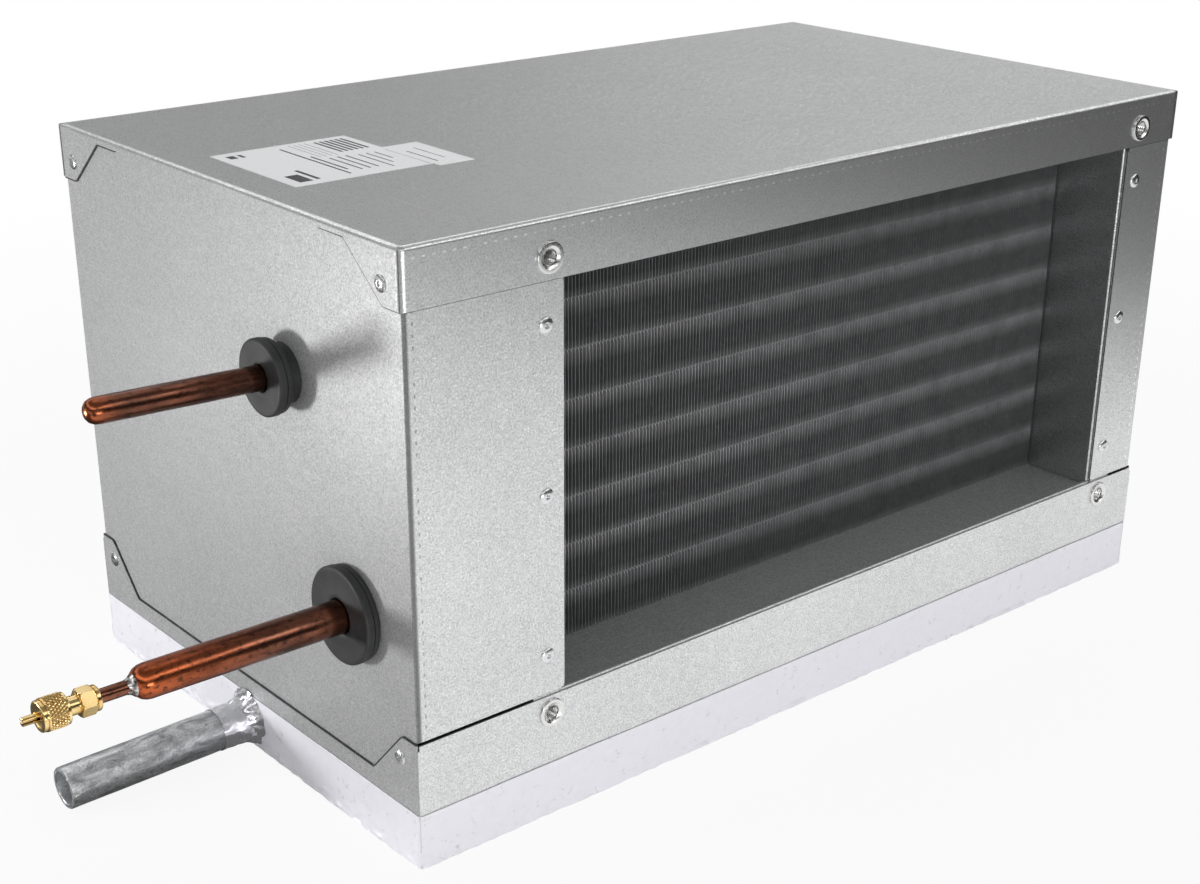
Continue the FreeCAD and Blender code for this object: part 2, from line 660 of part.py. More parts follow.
# Coil end plates: channels that hold the tubes and close the duct at both sides
def end_plate(label, inner, outer, flange_edge):
    """The web stands on the floor plate and is notched over its two raised hems."""
    body = new_body(label)
    low, high = (outer, inner) if value(outer) < value(inner) else (inner, outer)
    foot = "floor_level + lap_gap"
    above_hem = "duct_base + lap_gap"
    head = "duct_top - lap_gap"
    web = [
        ("hem_end + lap_gap", foot),
        ("case_depth - hem_end - lap_gap", foot),
        ("case_depth - hem_end - lap_gap", above_hem),
        ("case_depth - plate_front", above_hem),
        ("case_depth - plate_front", head),
        ("plate_front", head),
        ("plate_front", above_hem),
        ("hem_end + lap_gap", above_hem),
    ]
    pad(body, "YZ", low, high, web)
    low, high = (flange_edge, inner) if value(flange_edge) < value(inner) else (inner, flange_edge)
    flange = rectangle(low, high, above_hem, head)
    pad(body, "XZ", "plate_front", "plate_front + sheet", flange)
    pad(body, "XZ", "case_depth - plate_front - sheet", "case_depth - plate_front", flange)

    def is_plate_fold(edge):
        at = edge.CenterOfMass
        front_or_rear = near(at.y, value("plate_front")) or near(at.y, value("case_depth - plate_front"))
        return edge_along(edge, 2) and near(at.x, value(inner)) and front_or_rear

    round_edges(body, "bend_radius", is_plate_fold)


end_plate("left_end_plate", "-duct_edge", "-plate_web", "-duct_edge - plate_flange")
end_plate("right_end_plate", "duct_edge", "plate_web", "duct_edge + plate_flange")

# Duct ceiling: a folded plate between the end plates' tops and the lid's flanges
ceiling_edge = "duct_edge + plate_flange"
ceiling = new_body("duct_ceiling")
ceiling_plate = rectangle(f"-({ceiling_edge})", ceiling_edge, "lap", "case_depth - lap")
pad(ceiling, "XY", "duct_top", "duct_top + sheet", ceiling_plate)
ceiling_lip = rectangle(f"-({ceiling_edge})", ceiling_edge, "duct_top", "duct_top + lip_height")
for start, end in (("lap", "lap + sheet"), ("case_depth - lap - sheet", "case_depth - lap")):
    pad(ceiling, "XZ", start, end, ceiling_lip)
    cut_holes(ceiling, "XZ", start, end, outlines=top_nut_holes)

# Duct floor: a plate with hemmed front and rear edges and drain slots under the coil
floor = new_body("duct_floor")
floor_section = [
    ("lap", "duct_base"),
    ("hem_end", "duct_base"),
    ("hem_end", "floor_level"),
    ("case_depth - hem_end", "floor_level"),
    ("case_depth - hem_end", "duct_base"),
    ("case_depth - lap", "duct_base"),
    ("case_depth - lap", "duct_base - lip_height"),
    ("case_depth - lap - sheet", "duct_base - lip_height"),
    ("case_depth - lap - sheet", "duct_base - sheet"),
    ("case_depth - lap - hem_width", "duct_base - sheet"),
    ("case_depth - lap - hem_width", "floor_level - sheet"),
    ("lap + hem_width", "floor_level - sheet"),
    ("lap + hem_width", "duct_base - sheet"),
    ("lap + sheet", "duct_base - sheet"),
    ("lap + sheet", "duct_base - lip_height"),
    ("lap", "duct_base - lip_height"),
]
floor_edge = "duct_edge + plate_flange - 2 * lap"
pad(floor, "YZ", f"-({floor_edge})", floor_edge, floor_section)


def is_hem_edge(edge):
    at = edge.CenterOfMass
    inner_edge = value("hem_end")
    spots = (value("lap"), inner_edge, value("case_depth - lap"), value("case_depth") - inner_edge)
    return edge_along(edge, 0) and near(at.z, value("duct_base")) and any(near(at.y, y) for y in spots)


round_edges(floor, "bend_radius", is_hem_edge)
for start, end in (("lap", "lap + sheet"), ("case_depth - lap - sheet", "case_depth - lap")):
    cut_holes(floor, "XZ", start, end, outlines=low_nut_holes)
drain_slots = []
slots_start = "coil_setback + fin_depth + slot_width"
for step in (-1, 0, 1):
    middle = f"{step} * slot_pitch"
    across = (f"{middle} - slot_length / 2", f"{middle} + slot_length / 2")
    drain_slots.append(rectangle(*across, slots_start, f"{slots_start} + slot_width"))
cut_holes(floor, "XY", "floor_level - sheet", "floor_level", outlines=drain_slots)

# Rivet nuts: one nut, copied to the four bolt places of each duct flange
nut_end = "nut_flange_height + nut_length"
nut_master = new_body("rivet_nut_pattern")
prism(nut_master, 0, "nut_flange_height", "nut_flange_radius", "nut_sides")
prism(nut_master, "nut_flange_height", nut_end, "nut_flats / sqrt(3)", 6)
cut_holes(nut_master, "YZ", 0, nut_end, circles=[("0", "0", "nut_bore_radius")])
TOWARDS_REAR = FreeCAD.Rotation(Vector(0, 0, 1), 90)
TOWARDS_FRONT = FreeCAD.Rotation(Vector(0, 0, 1), -90)
TOWARDS_RIGHT = FreeCAD.Rotation()
TOWARDS_LEFT = FreeCAD.Rotation(Vector(0, 0, 1), 180)


def nut_places(y, rotation):
    return [(Vector(x * value("bolt_x"), y, z * value("bolt_z")), rotation) for x in (-1, 1) for z in (-1, 1)]


nut_lift = value("nut_flange_height")
depth = value("case_depth")
shape_node("inlet_rivet_nuts", copies(nut_master, nut_places(-nut_lift, TOWARDS_REAR)))
shape_node("outlet_rivet_nuts", copies(nut_master, nut_places(depth + nut_lift, TOWARDS_FRONT)))

# Blind rivets: three on each side flange and one on each ear
rivet_master = new_body("rivet_pattern")
prism(rivet_master, 0, "rivet_height", "rivet_radius", "rivet_sides")
chamfer_end(rivet_master, 0, "rivet_edge", "rivet_edge")
rivet_lift = value("rivet_height")
rivet_x = value("duct_edge + flange_rivet_edge")
rivet_pitch = value("flange_rivet_pitch")
front_rivets = []
rear_rivets = []
for x in (-rivet_x, rivet_x):
    for z in (-rivet_pitch, 0, rivet_pitch):
        front_rivets.append((Vector(x, value("lap") - rivet_lift, z), TOWARDS_REAR))
        rear_rivets.append((Vector(x, depth - value("lap") + rivet_lift, z), TOWARDS_FRONT))
shape_node("front_flange_rivets", copies(rivet_master, front_rivets))
shape_node("rear_flange_rivets", copies(rivet_master, rear_rivets))
ear_rivets = []
for y in (value("ear_rivet_front"), depth - value("ear_rivet_rear")):
    for z in (value("case_top - ear_rivet_height"), value("tray_edge - tray_rivet_height")):
        ear_rivets.append((Vector(value("case_left") - rivet_lift, y, z), TOWARDS_RIGHT))
        ear_rivets.append((Vector(value("case_right") + rivet_lift, y, z), TOWARDS_LEFT))
shape_node("ear_rivets", copies(rivet_master, ear_rivets))

# Fin pack: thin upright plates, pressed on the tubes
fin_span = value("duct_width") - 2 * value("fin_side_gap") - value("fin_thickness")
fin_count = int(fin_span / value("fin_pitch")) + 1
first_fin = -(fin_count - 1) * value("fin_pitch") / 2 - value("fin_thickness") / 2
fin = Part.makeBox(
    value("fin_thickness"),
    value("fin_depth"),
    value("fin_height"),
    Vector(first_fin, value("coil_setback"), value("fin_base")),
)
fins = []
for number in range(fin_count):
    plate = fin.copy()
    plate.translate(Vector(number * value("fin_pitch"), 0, 0))
    fins.append(plate)
shape_node("fin_pack", fins)

# Coil tubes: hairpins with their bends at the right, joined by return bends at the left
ROWS = int(value("tube_rows"))
PER_ROW = int(value("tubes_per_row"))
tube_end = value("tube_end")
tube_sides = int(value("tube_sides"))


def tube_place(row, number, x):
    """A point on the axis of a coil tube; rows count from the front, tubes from below."""
    lift = value("front_row_lift")
    if row % 2:
        lift -= value("tube_spacing") / 2
    y = value("front_row") + row * value("row_pitch")
    return Vector(x, y, value("fin_base") + lift + number * value("tube_spacing"))


def u_tube(start, turn_start, turn_end, end, reach):
    """A U of coil tube whose half round bend reaches past the two turning points."""
    apart = turn_end - turn_start
    radius = apart.Length / 2
    out = Vector(reach * radius, 0, 0)
    path = rounded([start, turn_start + out, turn_end + out, end], radius)
    return flat_sided_bar(path, value("tube_radius"), tube_sides, apart)


hairpins = []
for row in range(ROWS):
    for number in range(0, PER_ROW - 1, 2):
        ends = [tube_place(row, number + i, x) for i in (0, 1) for x in (-tube_end, tube_end)]
        hairpins.append(u_tube(ends[0], ends[1], ends[3], ends[2], 1))
shape_node("hairpin_tubes", hairpins)

returns = []
for number in range(0, PER_ROW - 1, 2):
    for row in range(ROWS - 1, 0, -1):
        step = (ROWS - 1 - row) % 2
        here = tube_place(row, number + step, -tube_end)
        there = tube_place(row - 1, number + step, -tube_end)
        leg = Vector(-value("return_leg"), 0, 0)
        returns.append(u_tube(here, here + leg, there + leg, there, -1))
shape_node("return_bends", returns)

# Suction header: a closed upright tube that gathers the outlets of the front row
top_branch = "floor((tubes_per_row - 2) / 2) * 2 * tube_spacing"
header_foot = "fin_base + front_row_lift - header_overrun"
header_rise = f"{top_branch} + 2 * header_overrun"
header_at = ("header_x", "suction_depth")
suction_bore = "suction_radius - suction_wall"


def header_prism(foot, rise, radius):
    return primitive("Prism", *header_at, foot, Polygon="header_sides", Circumradius=radius, Height=rise)


header_outside = header_prism(header_foot, header_rise, "header_radius")
header_inside = header_prism(
    f"{header_foot} + header_wall", f"{header_rise} - 2 * header_wall", "header_radius - header_wall"
)
header_port = primitive("Cylinder", "header_x", *suction_at, -90, Radius=suction_bore, Height="2 * header_radius")
boolean("Cut", "suction_header", header_outside, [header_inside, header_port])

header_core = header_outside.Shape.copy()
branches = []
for number in range(0, PER_ROW - 1, 2):
    outlet = tube_place(0, number, -tube_end)
    path = [outlet, Vector(value("header_x"), outlet.y, outlet.z)]
    branch = flat_sided_bar(path, value("tube_radius"), tube_sides, Vector(0, 0, 1))
    branches.append(branch.cut(header_core))
shape_node("header_branches", branches)


def domed_end(tip, radius):
    """Profile points of a domed end, from the straight wall towards the tip."""
    return [(f"{tip} + {radius} * (1 - sin({angle} deg))", f"{radius} * cos({angle} deg)") for angle in (0, 30, 60)]


# Suction pipe: from the header through the panel to a domed end with the service tube's hole
service_hole = "service_radius + lap_gap / 2"
dome_base = "suction_tip + suction_radius"
suction_clear = "panel_face - grommet_flange - pipe_margin"
suction_profile = [
    (suction_clear, 0),
    (suction_clear, "suction_radius"),
    *domed_end("suction_tip", "suction_radius"),
    ("suction_face", 0),
]
pipe_form = turned_body("suction_pipe_form", suction_profile, 0, *suction_at)
prism(pipe_form, suction_clear, "header_x", "suction_radius", "bore_sides")
cut_prism(pipe_form, dome_base, "header_x", suction_bore, "bore_sides")
cut_prism(pipe_form, "suction_face", dome_base, service_hole, "valve_sides")
header_notch = header_prism(header_foot, header_rise, "header_radius")
boolean("Cut", "suction_pipe", pipe_form, [header_notch])

# Liquid pipe: slopes up a little from the distributor to its domed end
liquid_start = "socket_depth - manifold_length"
liquid_clear_x = "panel_face - liquid_grommet_standoff - grommet_flange - pipe_margin"
liquid_clear = f"({liquid_clear_x} - manifold_face) / cos(liquid_rise * 1 deg)"
liquid_profile = [
    (liquid_clear, 0),
    (liquid_clear, "liquid_radius"),
    *domed_end("-liquid_run", "liquid_radius"),
    ("-liquid_run", 0),
]
manifold_at = ("manifold_face", "liquid_depth", "manifold_level")
liquid_pipe = turned_body("liquid_pipe", liquid_profile, *manifold_at, "liquid_rise")
prism(liquid_pipe, liquid_clear, liquid_start, "liquid_radius", "bore_sides")
cut_prism(liquid_pipe, "liquid_radius - liquid_run", liquid_start, "liquid_radius - liquid_wall", "bore_sides")

# Liquid distributor: a tapered brass body that feeds the distributor tubes
distributor = new_body("liquid_distributor")
taper_end = "-manifold_rim - manifold_taper"
prism(distributor, taper_end, 0, "manifold_radius", "manifold_sides")
chamfer_end(distributor, taper_end, "manifold_taper", "manifold_radius - manifold_neck_radius")
prism(distributor, "-manifold_length", taper_end, "manifold_neck_radius", "manifold_sides")
socket_radius = "liquid_radius + socket_clearance"
cut_prism(distributor, "-manifold_length", liquid_start, socket_radius, "manifold_sides")
cut_prism(distributor, liquid_start, "-manifold_rim", "manifold_bore", "manifold_sides")
place(distributor, *manifold_at, "liquid_rise")

# Distributor tubes: one to the first tube of each circuit in the rear row
inlets = [tube_place(ROWS - 1, number, -tube_end) for number in range(1, PER_ROW, 2)]
spread = value("capillary_spread")
capillary_bend = value("capillary_bend")
manifold_centre = Vector(*[value(text) for text in manifold_at])
manifold_slope = math.tan(math.radians(value("liquid_rise")))
capillaries = []
for order, inlet in enumerate(inlets):
    side = -1 if order % 2 == 0 else 1
    level = -1 if inlet.z < manifold_centre.z - value("tube_spacing") / 2 else 1
    lean = (level * spread + value("capillary_radius")) * manifold_slope + value("lap_gap")
    start = manifold_centre + Vector(lean, side * spread, level * spread)
    run_x = manifold_centre.x + value("capillary_stub") + capillary_bend
    if side > 0:
        run_x += value("capillary_gap")
    if abs(inlet.z - start.z) > 2 * capillary_bend:
        corners = [Vector(run_x, start.y, start.z), Vector(run_x, inlet.y, inlet.z)]
        path = rounded([start, *corners, inlet], capillary_bend)
    else:
        stub = Vector(capillary_bend, 0, 0)
        path = [start, start + stub, inlet - stub, inlet]
    sides = int(value("capillary_sides"))
    capillaries.append(flat_sided_bar(path, value("capillary_radius"), sides, Vector(0, 1, 0)))
shape_node("distributor_tubes", capillaries)


# Rubber grommets where the two pipes pass through the left panel
def grommet(label, depth_at, level_at, pipe_radius, radius, standoff):
    body = new_body(label)
    inner_start = "sheet + lap_gap"
    inner_end = f"{inner_start} + grommet_inner"
    outer = f"-({standoff}) - grommet_flange"
    prism(body, outer, f"-({standoff})", radius, "grommet_sides")
    prism(body, f"-({standoff})", inner_start, f"{radius} - grommet_groove", "grommet_sides")
    prism(body, inner_start, inner_end, f"{radius} - grommet_lip", "grommet_sides")
    cut_prism(body, outer, inner_end, f"{pipe_radius} + grommet_clearance", "grommet_sides")
    place(body, "panel_face", depth_at, level_at)


grommet("suction_grommet", *suction_at, "suction_radius", "suction_grommet_radius", "0")
grommet("liquid_grommet", *liquid_at, "liquid_radius", "liquid_grommet_radius", "liquid_grommet_standoff")

# Drain pipe: a sloping steel pipe with an upright neck under the hole in the tray
drain_slope = "tan(drain_fall * 1 deg)"
drain_tilt = "-90 - drain_fall"
drain_run = "(drain_reach + drain_inset + drain_radius) / cos(drain_fall * 1 deg)"
neck_at = ("drain_x", "case_depth / 2", "drain_neck_level")
neck_height = "tray_base - drain_neck_level"


def neck_prism(radius, height):
    return primitive("Prism", *neck_at, Polygon="neck_sides", Circumradius=radius, Height=height)


def drain_bar(kind, back, length, **form):
    """A bar along the drain pipe, which starts this far behind the neck's axis."""
    level = f"drain_neck_level + ({back}) * {drain_slope}"
    start = (f"drain_x + {back}", "case_depth / 2", level)
    return primitive(kind, *start, drain_tilt, Height=length, **form)


def drain_prism(back, radius, length):
    return drain_bar("Prism", back, length, Polygon="bore_sides", Circumradius=radius)


drain_outer_run = "(drain_reach - tape_thickness - pipe_margin) / cos(drain_fall * 1 deg)"
drain_clear = "-drain_inset - tape_thickness - pipe_margin"
drain_inner = drain_prism("drain_radius", "drain_radius", f"{drain_run} - {drain_outer_run}")
drain_outer = drain_bar("Cylinder", drain_clear, drain_outer_run, Radius="drain_radius")
neck_outside = neck_prism("drain_neck_radius", neck_height)
drain_bore = drain_prism("drain_radius - drain_wall", "drain_radius - drain_wall", drain_run)
neck_inside = neck_prism("drain_neck_radius - drain_wall", neck_height)
drain_form = boolean("MultiFuse", "drain_pipe_form", None, [drain_inner, drain_outer, neck_outside])
boolean("Cut", "drain_pipe", drain_form, [drain_bore, neck_inside])

# Insulation board under the tray, cut out round the drain pipe
case_at = ("case_left", 0, "case_base")
case_width = "case_right - case_left"
board = primitive("Box", *case_at, Length=case_width, Width="case_depth", Height="insulation")
channel = drain_prism("drain_radius + lap_gap", "drain_radius + lap_gap", drain_run)
socket = neck_prism("drain_neck_radius + lap_gap", "insulation")
boolean("Cut", "insulation_board", board, [channel, socket])

# Foil tape round the joint between the board and the tray
tape_outside = primitive(
    "Box",
    "case_left - tape_thickness",
    "-tape_thickness",
    "case_base",
    Length=f"{case_width} + 2 * tape_thickness",
    Width="case_depth + 2 * tape_thickness",
    Height="tape_width",
)
tape_inside = primitive("Box", *case_at, Length=case_width, Width="case_depth", Height="tape_width")
tape_hole = drain_prism("drain_radius + lap_gap", "drain_radius + lap_gap", drain_run)
boolean("Cut", "foil_tape", tape_outside, [tape_inside, tape_hole])

# Droplet eliminator: waved blades between two folded rails behind the coil
rails = []
rail_low = value("eliminator_front")
rail_high = value("eliminator_end")
thick = value("blade_thickness")
for level, direction in (("floor_level", 1), ("duct_top", -1)):
    base = value(level) + direction * value("lap_gap")
    tall = direction * value("rail_height")
    section = [
        Vector(0, rail_low, base),
        Vector(0, rail_high, base),
        Vector(0, rail_high, base + tall),
        Vector(0, rail_high - thick, base + tall),
        Vector(0, rail_high - thick, base + direction * thick),
        Vector(0, rail_low + thick, base + direction * thick),
        Vector(0, rail_low + thick, base + tall),
        Vector(0, rail_low, base + tall),
        Vector(0, rail_low, base),
    ]
    rail = Part.Face(Part.makePolygon(section)).extrude(Vector(value("duct_width - 2 * lap_gap"), 0, 0))
    rail.translate(Vector(value("-duct_edge + lap_gap"), 0, 0))
    rails.append(rail)
shape_node("eliminator_rails", rails)

blade_low = value("eliminator_front + 2 * blade_thickness")
blade_high = value("eliminator_end - 2 * blade_thickness")
blade_foot = value("floor_level + lap_gap + blade_thickness")
blade_head = value("duct_top - lap_gap - blade_thickness")
wave = value("blade_wave")
half_blade = value("blade_thickness") / 2
crests = [Vector(wave * (i % 2), blade_low + (blade_high - blade_low) * i / 3, blade_foot) for i in range(4)]
near_side = [crest + Vector(-half_blade, 0, 0) for crest in crests]
far_side = [crest + Vector(half_blade, 0, 0) for crest in reversed(crests)]
blade_outline = Part.makePolygon(near_side + far_side + near_side[:1])
blade = Part.Face(blade_outline).extrude(Vector(0, 0, blade_head - blade_foot))
blade_count = int((value("duct_width") - 2 * wave) / value("blade_pitch"))
first_blade = -(blade_count - 1) * value("blade_pitch") / 2 - wave / 2
blades = []
for number in range(blade_count):
    copy = blade.copy()
    copy.translate(Vector(first_blade + number * value("blade_pitch"), 0, 0))
    blades.append(copy)
shape_node("eliminator_blades", blades)

# Service valve on the suction pipe's end: copper tube, brass body, core, pin, seal and cap
socket_start = "valve_start - socket_depth"
service_end = "suction_face + service_insert"
service_tube = new_body("service_tube")
prism(service_tube, socket_start, service_end, "service_radius", "valve_sides")
cut_prism(service_tube, socket_start, service_end, "service_radius - service_wall", "valve_sides")
place(service_tube, 0, *suction_at)

valve = new_body("service_valve")
prism(valve, "nose_end", "nose_start", "nose_radius", "valve_sides")
chamfer_end(valve, "nose_end", "nose_edge", "nose_edge")
prism(valve, "nose_start", "neck_start", "neck_radius", "valve_sides")
prism(valve, "neck_start", "hex_start", "hex_flats / sqrt(3)", 6)
prism(valve, "hex_start", "valve_start", "collar_radius", "valve_sides")
cut_prism(valve, "nose_end", "core_start", "nose_mouth", "valve_sides")
cut_prism(valve, "core_start", socket_start, "core_radius + lap_gap / 2", "valve_sides")
cut_prism(valve, socket_start, "valve_start", service_hole, "valve_sides")
place(valve, 0, *suction_at)

valve_core = new_body("valve_core")
prism(valve_core, "core_start", "core_end", "core_radius", "valve_sides")
cut_prism(valve_core, "core_start", "core_end", "pin_radius + pin_clearance", "pin_sides")
place(valve_core, 0, *suction_at)

core_pin = new_body("core_pin")
pin_end = "core_end + pin_clearance"
prism(core_pin, "nose_end + pin_clearance", pin_end, "pin_radius", "pin_sides")
prism(core_pin, pin_end, f"{pin_end} + pin_disc_thickness", "pin_disc_radius", "pin_sides")
place(core_pin, 0, *suction_at)

cap_seal = new_body("cap_seal")
prism(cap_seal, "gasket_start", "gasket_start + gasket_thickness", "nose_radius", "valve_sides")
cut_prism(cap_seal, "gasket_start", "gasket_start + gasket_thickness", "gasket_bore", "valve_sides")
place(cap_seal, 0, *suction_at)

cap = new_body("valve_cap")
prism(cap, "cap_end", "cap_start", "cap_radius", "valve_sides")
chamfer_end(cap, "cap_start", "cap_edge", "cap_edge")
chamfer_end(cap, "cap_end", "cap_edge", "cap_edge")
prism(cap, "cap_end - prong_length", "cap_end", "prong_radius", "pin_sides")
cut_prism(cap, "gasket_start - lap_gap", "cap_start", "nose_radius + cap_clearance", "valve_sides")
slot = rectangle("-prong_slot / 2", "prong_slot / 2", "-2 * prong_radius", "2 * prong_radius")
slot_end = "cap_end - prong_length + prong_slot_depth"
cut_holes(cap, "YZ", "cap_end - prong_length", slot_end, outlines=[slot])
place(cap, 0, *suction_at)

# Paper label on the lid, left bare
label = new_body("rating_label")
label_x = "case_left + label_inset"
label_end = f"{label_x} + label_width"
label_stub = f"{label_end} + stub_label_width"
stub_start = "label_start - stub_label_lead"
stub_end = f"{stub_start} + stub_label_length"
label_outline = [
    (label_x, "label_start"),
    (label_end, "label_start"),
    (label_end, stub_start),
    (label_stub, stub_start),
    (label_stub, stub_end),
    (label_end, stub_end),
    (label_end, "label_start + label_length"),
    (label_x, "label_start + label_length"),
]
pad(label, "XY", "case_top", "case_top + label_thickness", label_outline)

doc.recompute()

NODES = [
    "top_cover",
    "drip_tray",
    "left_side_panel",
    "right_side_panel",
    "left_end_plate",
    "right_end_plate",
    "duct_ceiling",
    "duct_floor",
    "inlet_rivet_nuts",
    "outlet_rivet_nuts",
    "front_flange_rivets",
    "rear_flange_rivets",
    "ear_rivets",
    "fin_pack",
    "hairpin_tubes",
    "return_bends",
    "suction_header",
    "header_branches",
    "suction_pipe",
    "liquid_pipe",
    "liquid_distributor",
    "distributor_tubes",
    "suction_grommet",
    "liquid_grommet",
    "drain_pipe",
    "insulation_board",
    "foil_tape",
    "eliminator_rails",
    "eliminator_blades",
    "service_tube",
    "service_valve",
    "valve_core",
    "core_pin",
    "cap_seal",
    "valve_cap",
    "rating_label",
]

for item in doc.Objects:
    if "Invalid" in item.State or "Error" in item.State:
        raise RuntimeError(f"{item.Label} failed: {item.State}")

os.makedirs("parts", exist_ok=True)
for name in NODES:
    shape = doc.getObjectsByLabel(name)[0].Shape
    if shape.isNull() or not shape.isValid():
        raise RuntimeError(f"{name} has no valid shape")
    shape.exportStep(f"parts/{name}.step")
    print(f"{name:22s} solids {len(shape.Solids):4d}  volume {shape.Volume:12.1f}")
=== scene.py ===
"""Duct cooling coil: the looks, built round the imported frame.

Sizes are in millimetres in the part's own frame, and become metres when a piece is made.
"""

import random
from math import asin, cos, exp, hypot, pi, radians, sin, sqrt, tan

import bpy
from mathutils import Matrix, Vector, noise


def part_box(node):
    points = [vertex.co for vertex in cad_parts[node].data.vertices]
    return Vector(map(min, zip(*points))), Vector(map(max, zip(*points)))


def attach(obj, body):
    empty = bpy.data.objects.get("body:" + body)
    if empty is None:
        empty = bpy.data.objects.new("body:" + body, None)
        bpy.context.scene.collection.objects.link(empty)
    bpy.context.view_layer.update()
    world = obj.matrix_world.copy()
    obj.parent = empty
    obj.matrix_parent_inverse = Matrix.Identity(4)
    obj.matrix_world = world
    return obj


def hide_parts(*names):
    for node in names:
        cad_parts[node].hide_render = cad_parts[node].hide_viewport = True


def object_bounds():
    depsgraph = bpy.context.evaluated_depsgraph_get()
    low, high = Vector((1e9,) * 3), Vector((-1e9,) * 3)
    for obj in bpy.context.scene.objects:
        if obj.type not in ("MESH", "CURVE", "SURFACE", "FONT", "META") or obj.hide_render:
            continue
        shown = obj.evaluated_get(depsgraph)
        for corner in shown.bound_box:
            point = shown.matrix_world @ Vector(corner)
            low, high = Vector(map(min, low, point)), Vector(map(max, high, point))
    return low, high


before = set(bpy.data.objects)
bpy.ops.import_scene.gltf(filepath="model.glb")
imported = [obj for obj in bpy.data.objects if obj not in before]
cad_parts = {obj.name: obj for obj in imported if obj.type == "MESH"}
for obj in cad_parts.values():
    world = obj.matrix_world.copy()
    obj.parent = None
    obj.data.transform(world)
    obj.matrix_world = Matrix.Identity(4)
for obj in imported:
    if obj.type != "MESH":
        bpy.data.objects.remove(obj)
cad_low, cad_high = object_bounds()
MM = 0.001


def turned(degrees, axis):
    return Matrix.Rotation(radians(degrees), 4, axis)


def node_box(node):
    """A node's lowest and highest corners in millimetres."""
    low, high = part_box(node)
    return low / MM, high / MM


# Driving sizes
BOLT = Vector((210, 0, 110))
SUCTION_Y = 49.5
SUCTION_Z = -52.7
LIQUID_Y = 96
LIQUID_CROSS = Vector((-291.3, LIQUID_Y, 49.2))
LIQUID_RISE = 2
TUBE_RADIUS = 4.76
TUBE_PITCH = 25
ROW_PITCH = 21.65
TUBE_END = 208.8
DRAIN_RADIUS = 10.65
DRAIN_FALL = 1.5
SHEET = 0.8
LAP = 1
LID_FLANGE = 27
TRAY_FLANGE = 38
PRESS_PITCH = 5.2

case_low, case_high = node_box("top_cover")
coil_low, coil_high = node_box("fin_pack")
tray_top = node_box("drip_tray")[1].z
duct_top = case_high.z - LID_FLANGE
case_depth = case_high.y
FIRST_TUBE = coil_low.z + 18.75


# Materials


class Nodes:
    """The node tree of a material or a world, with short ways to add to it."""

    def __init__(self, owner):
        owner.use_nodes = True
        self.tree = owner.node_tree

    def join(self, socket, source):
        """Link a socket to another one, or give it a value."""
        if isinstance(source, bpy.types.NodeSocket):
            self.tree.links.new(source, socket)
        else:
            socket.default_value = source

    def node(self, kind, inputs=(), **settings):
        made = self.tree.nodes.new("ShaderNode" + kind)
        for name, setting in settings.items():
            setattr(made, name, setting)
        for socket, source in dict(inputs).items():
            self.join(made.inputs[socket], source)
        return made

    def math(self, operation, first, *others):
        """Apply an operation to one value, or to several in turn."""
        for other in others or [0]:
            first = self.node("Math", {0: first, 1: other}, operation=operation).outputs[0]
        return first

    def product(self, *factors):
        return self.math("MULTIPLY", *factors)

    def vector(self, operation, first, second):
        return self.node("VectorMath", {0: first, 1: second}, operation=operation).outputs["Value"]

    def shared(self, share, first, second):
        """A shader that is the second one to a share."""
        return self.node("MixShader", {0: share, 1: first, 2: second}).outputs[0]

    def span(self, source, low, high, to_low=0, to_high=1, shape="LINEAR"):
        """A value mapped from one span to another."""
        inputs = {"Value": source, "From Min": low, "From Max": high, "To Min": to_low, "To Max": to_high}
        return self.node("MapRange", inputs, interpolation_type=shape).outputs["Result"]

    def ramp(self, *spans):
        """A span with soft ends."""
        return self.span(*spans, shape="SMOOTHSTEP")


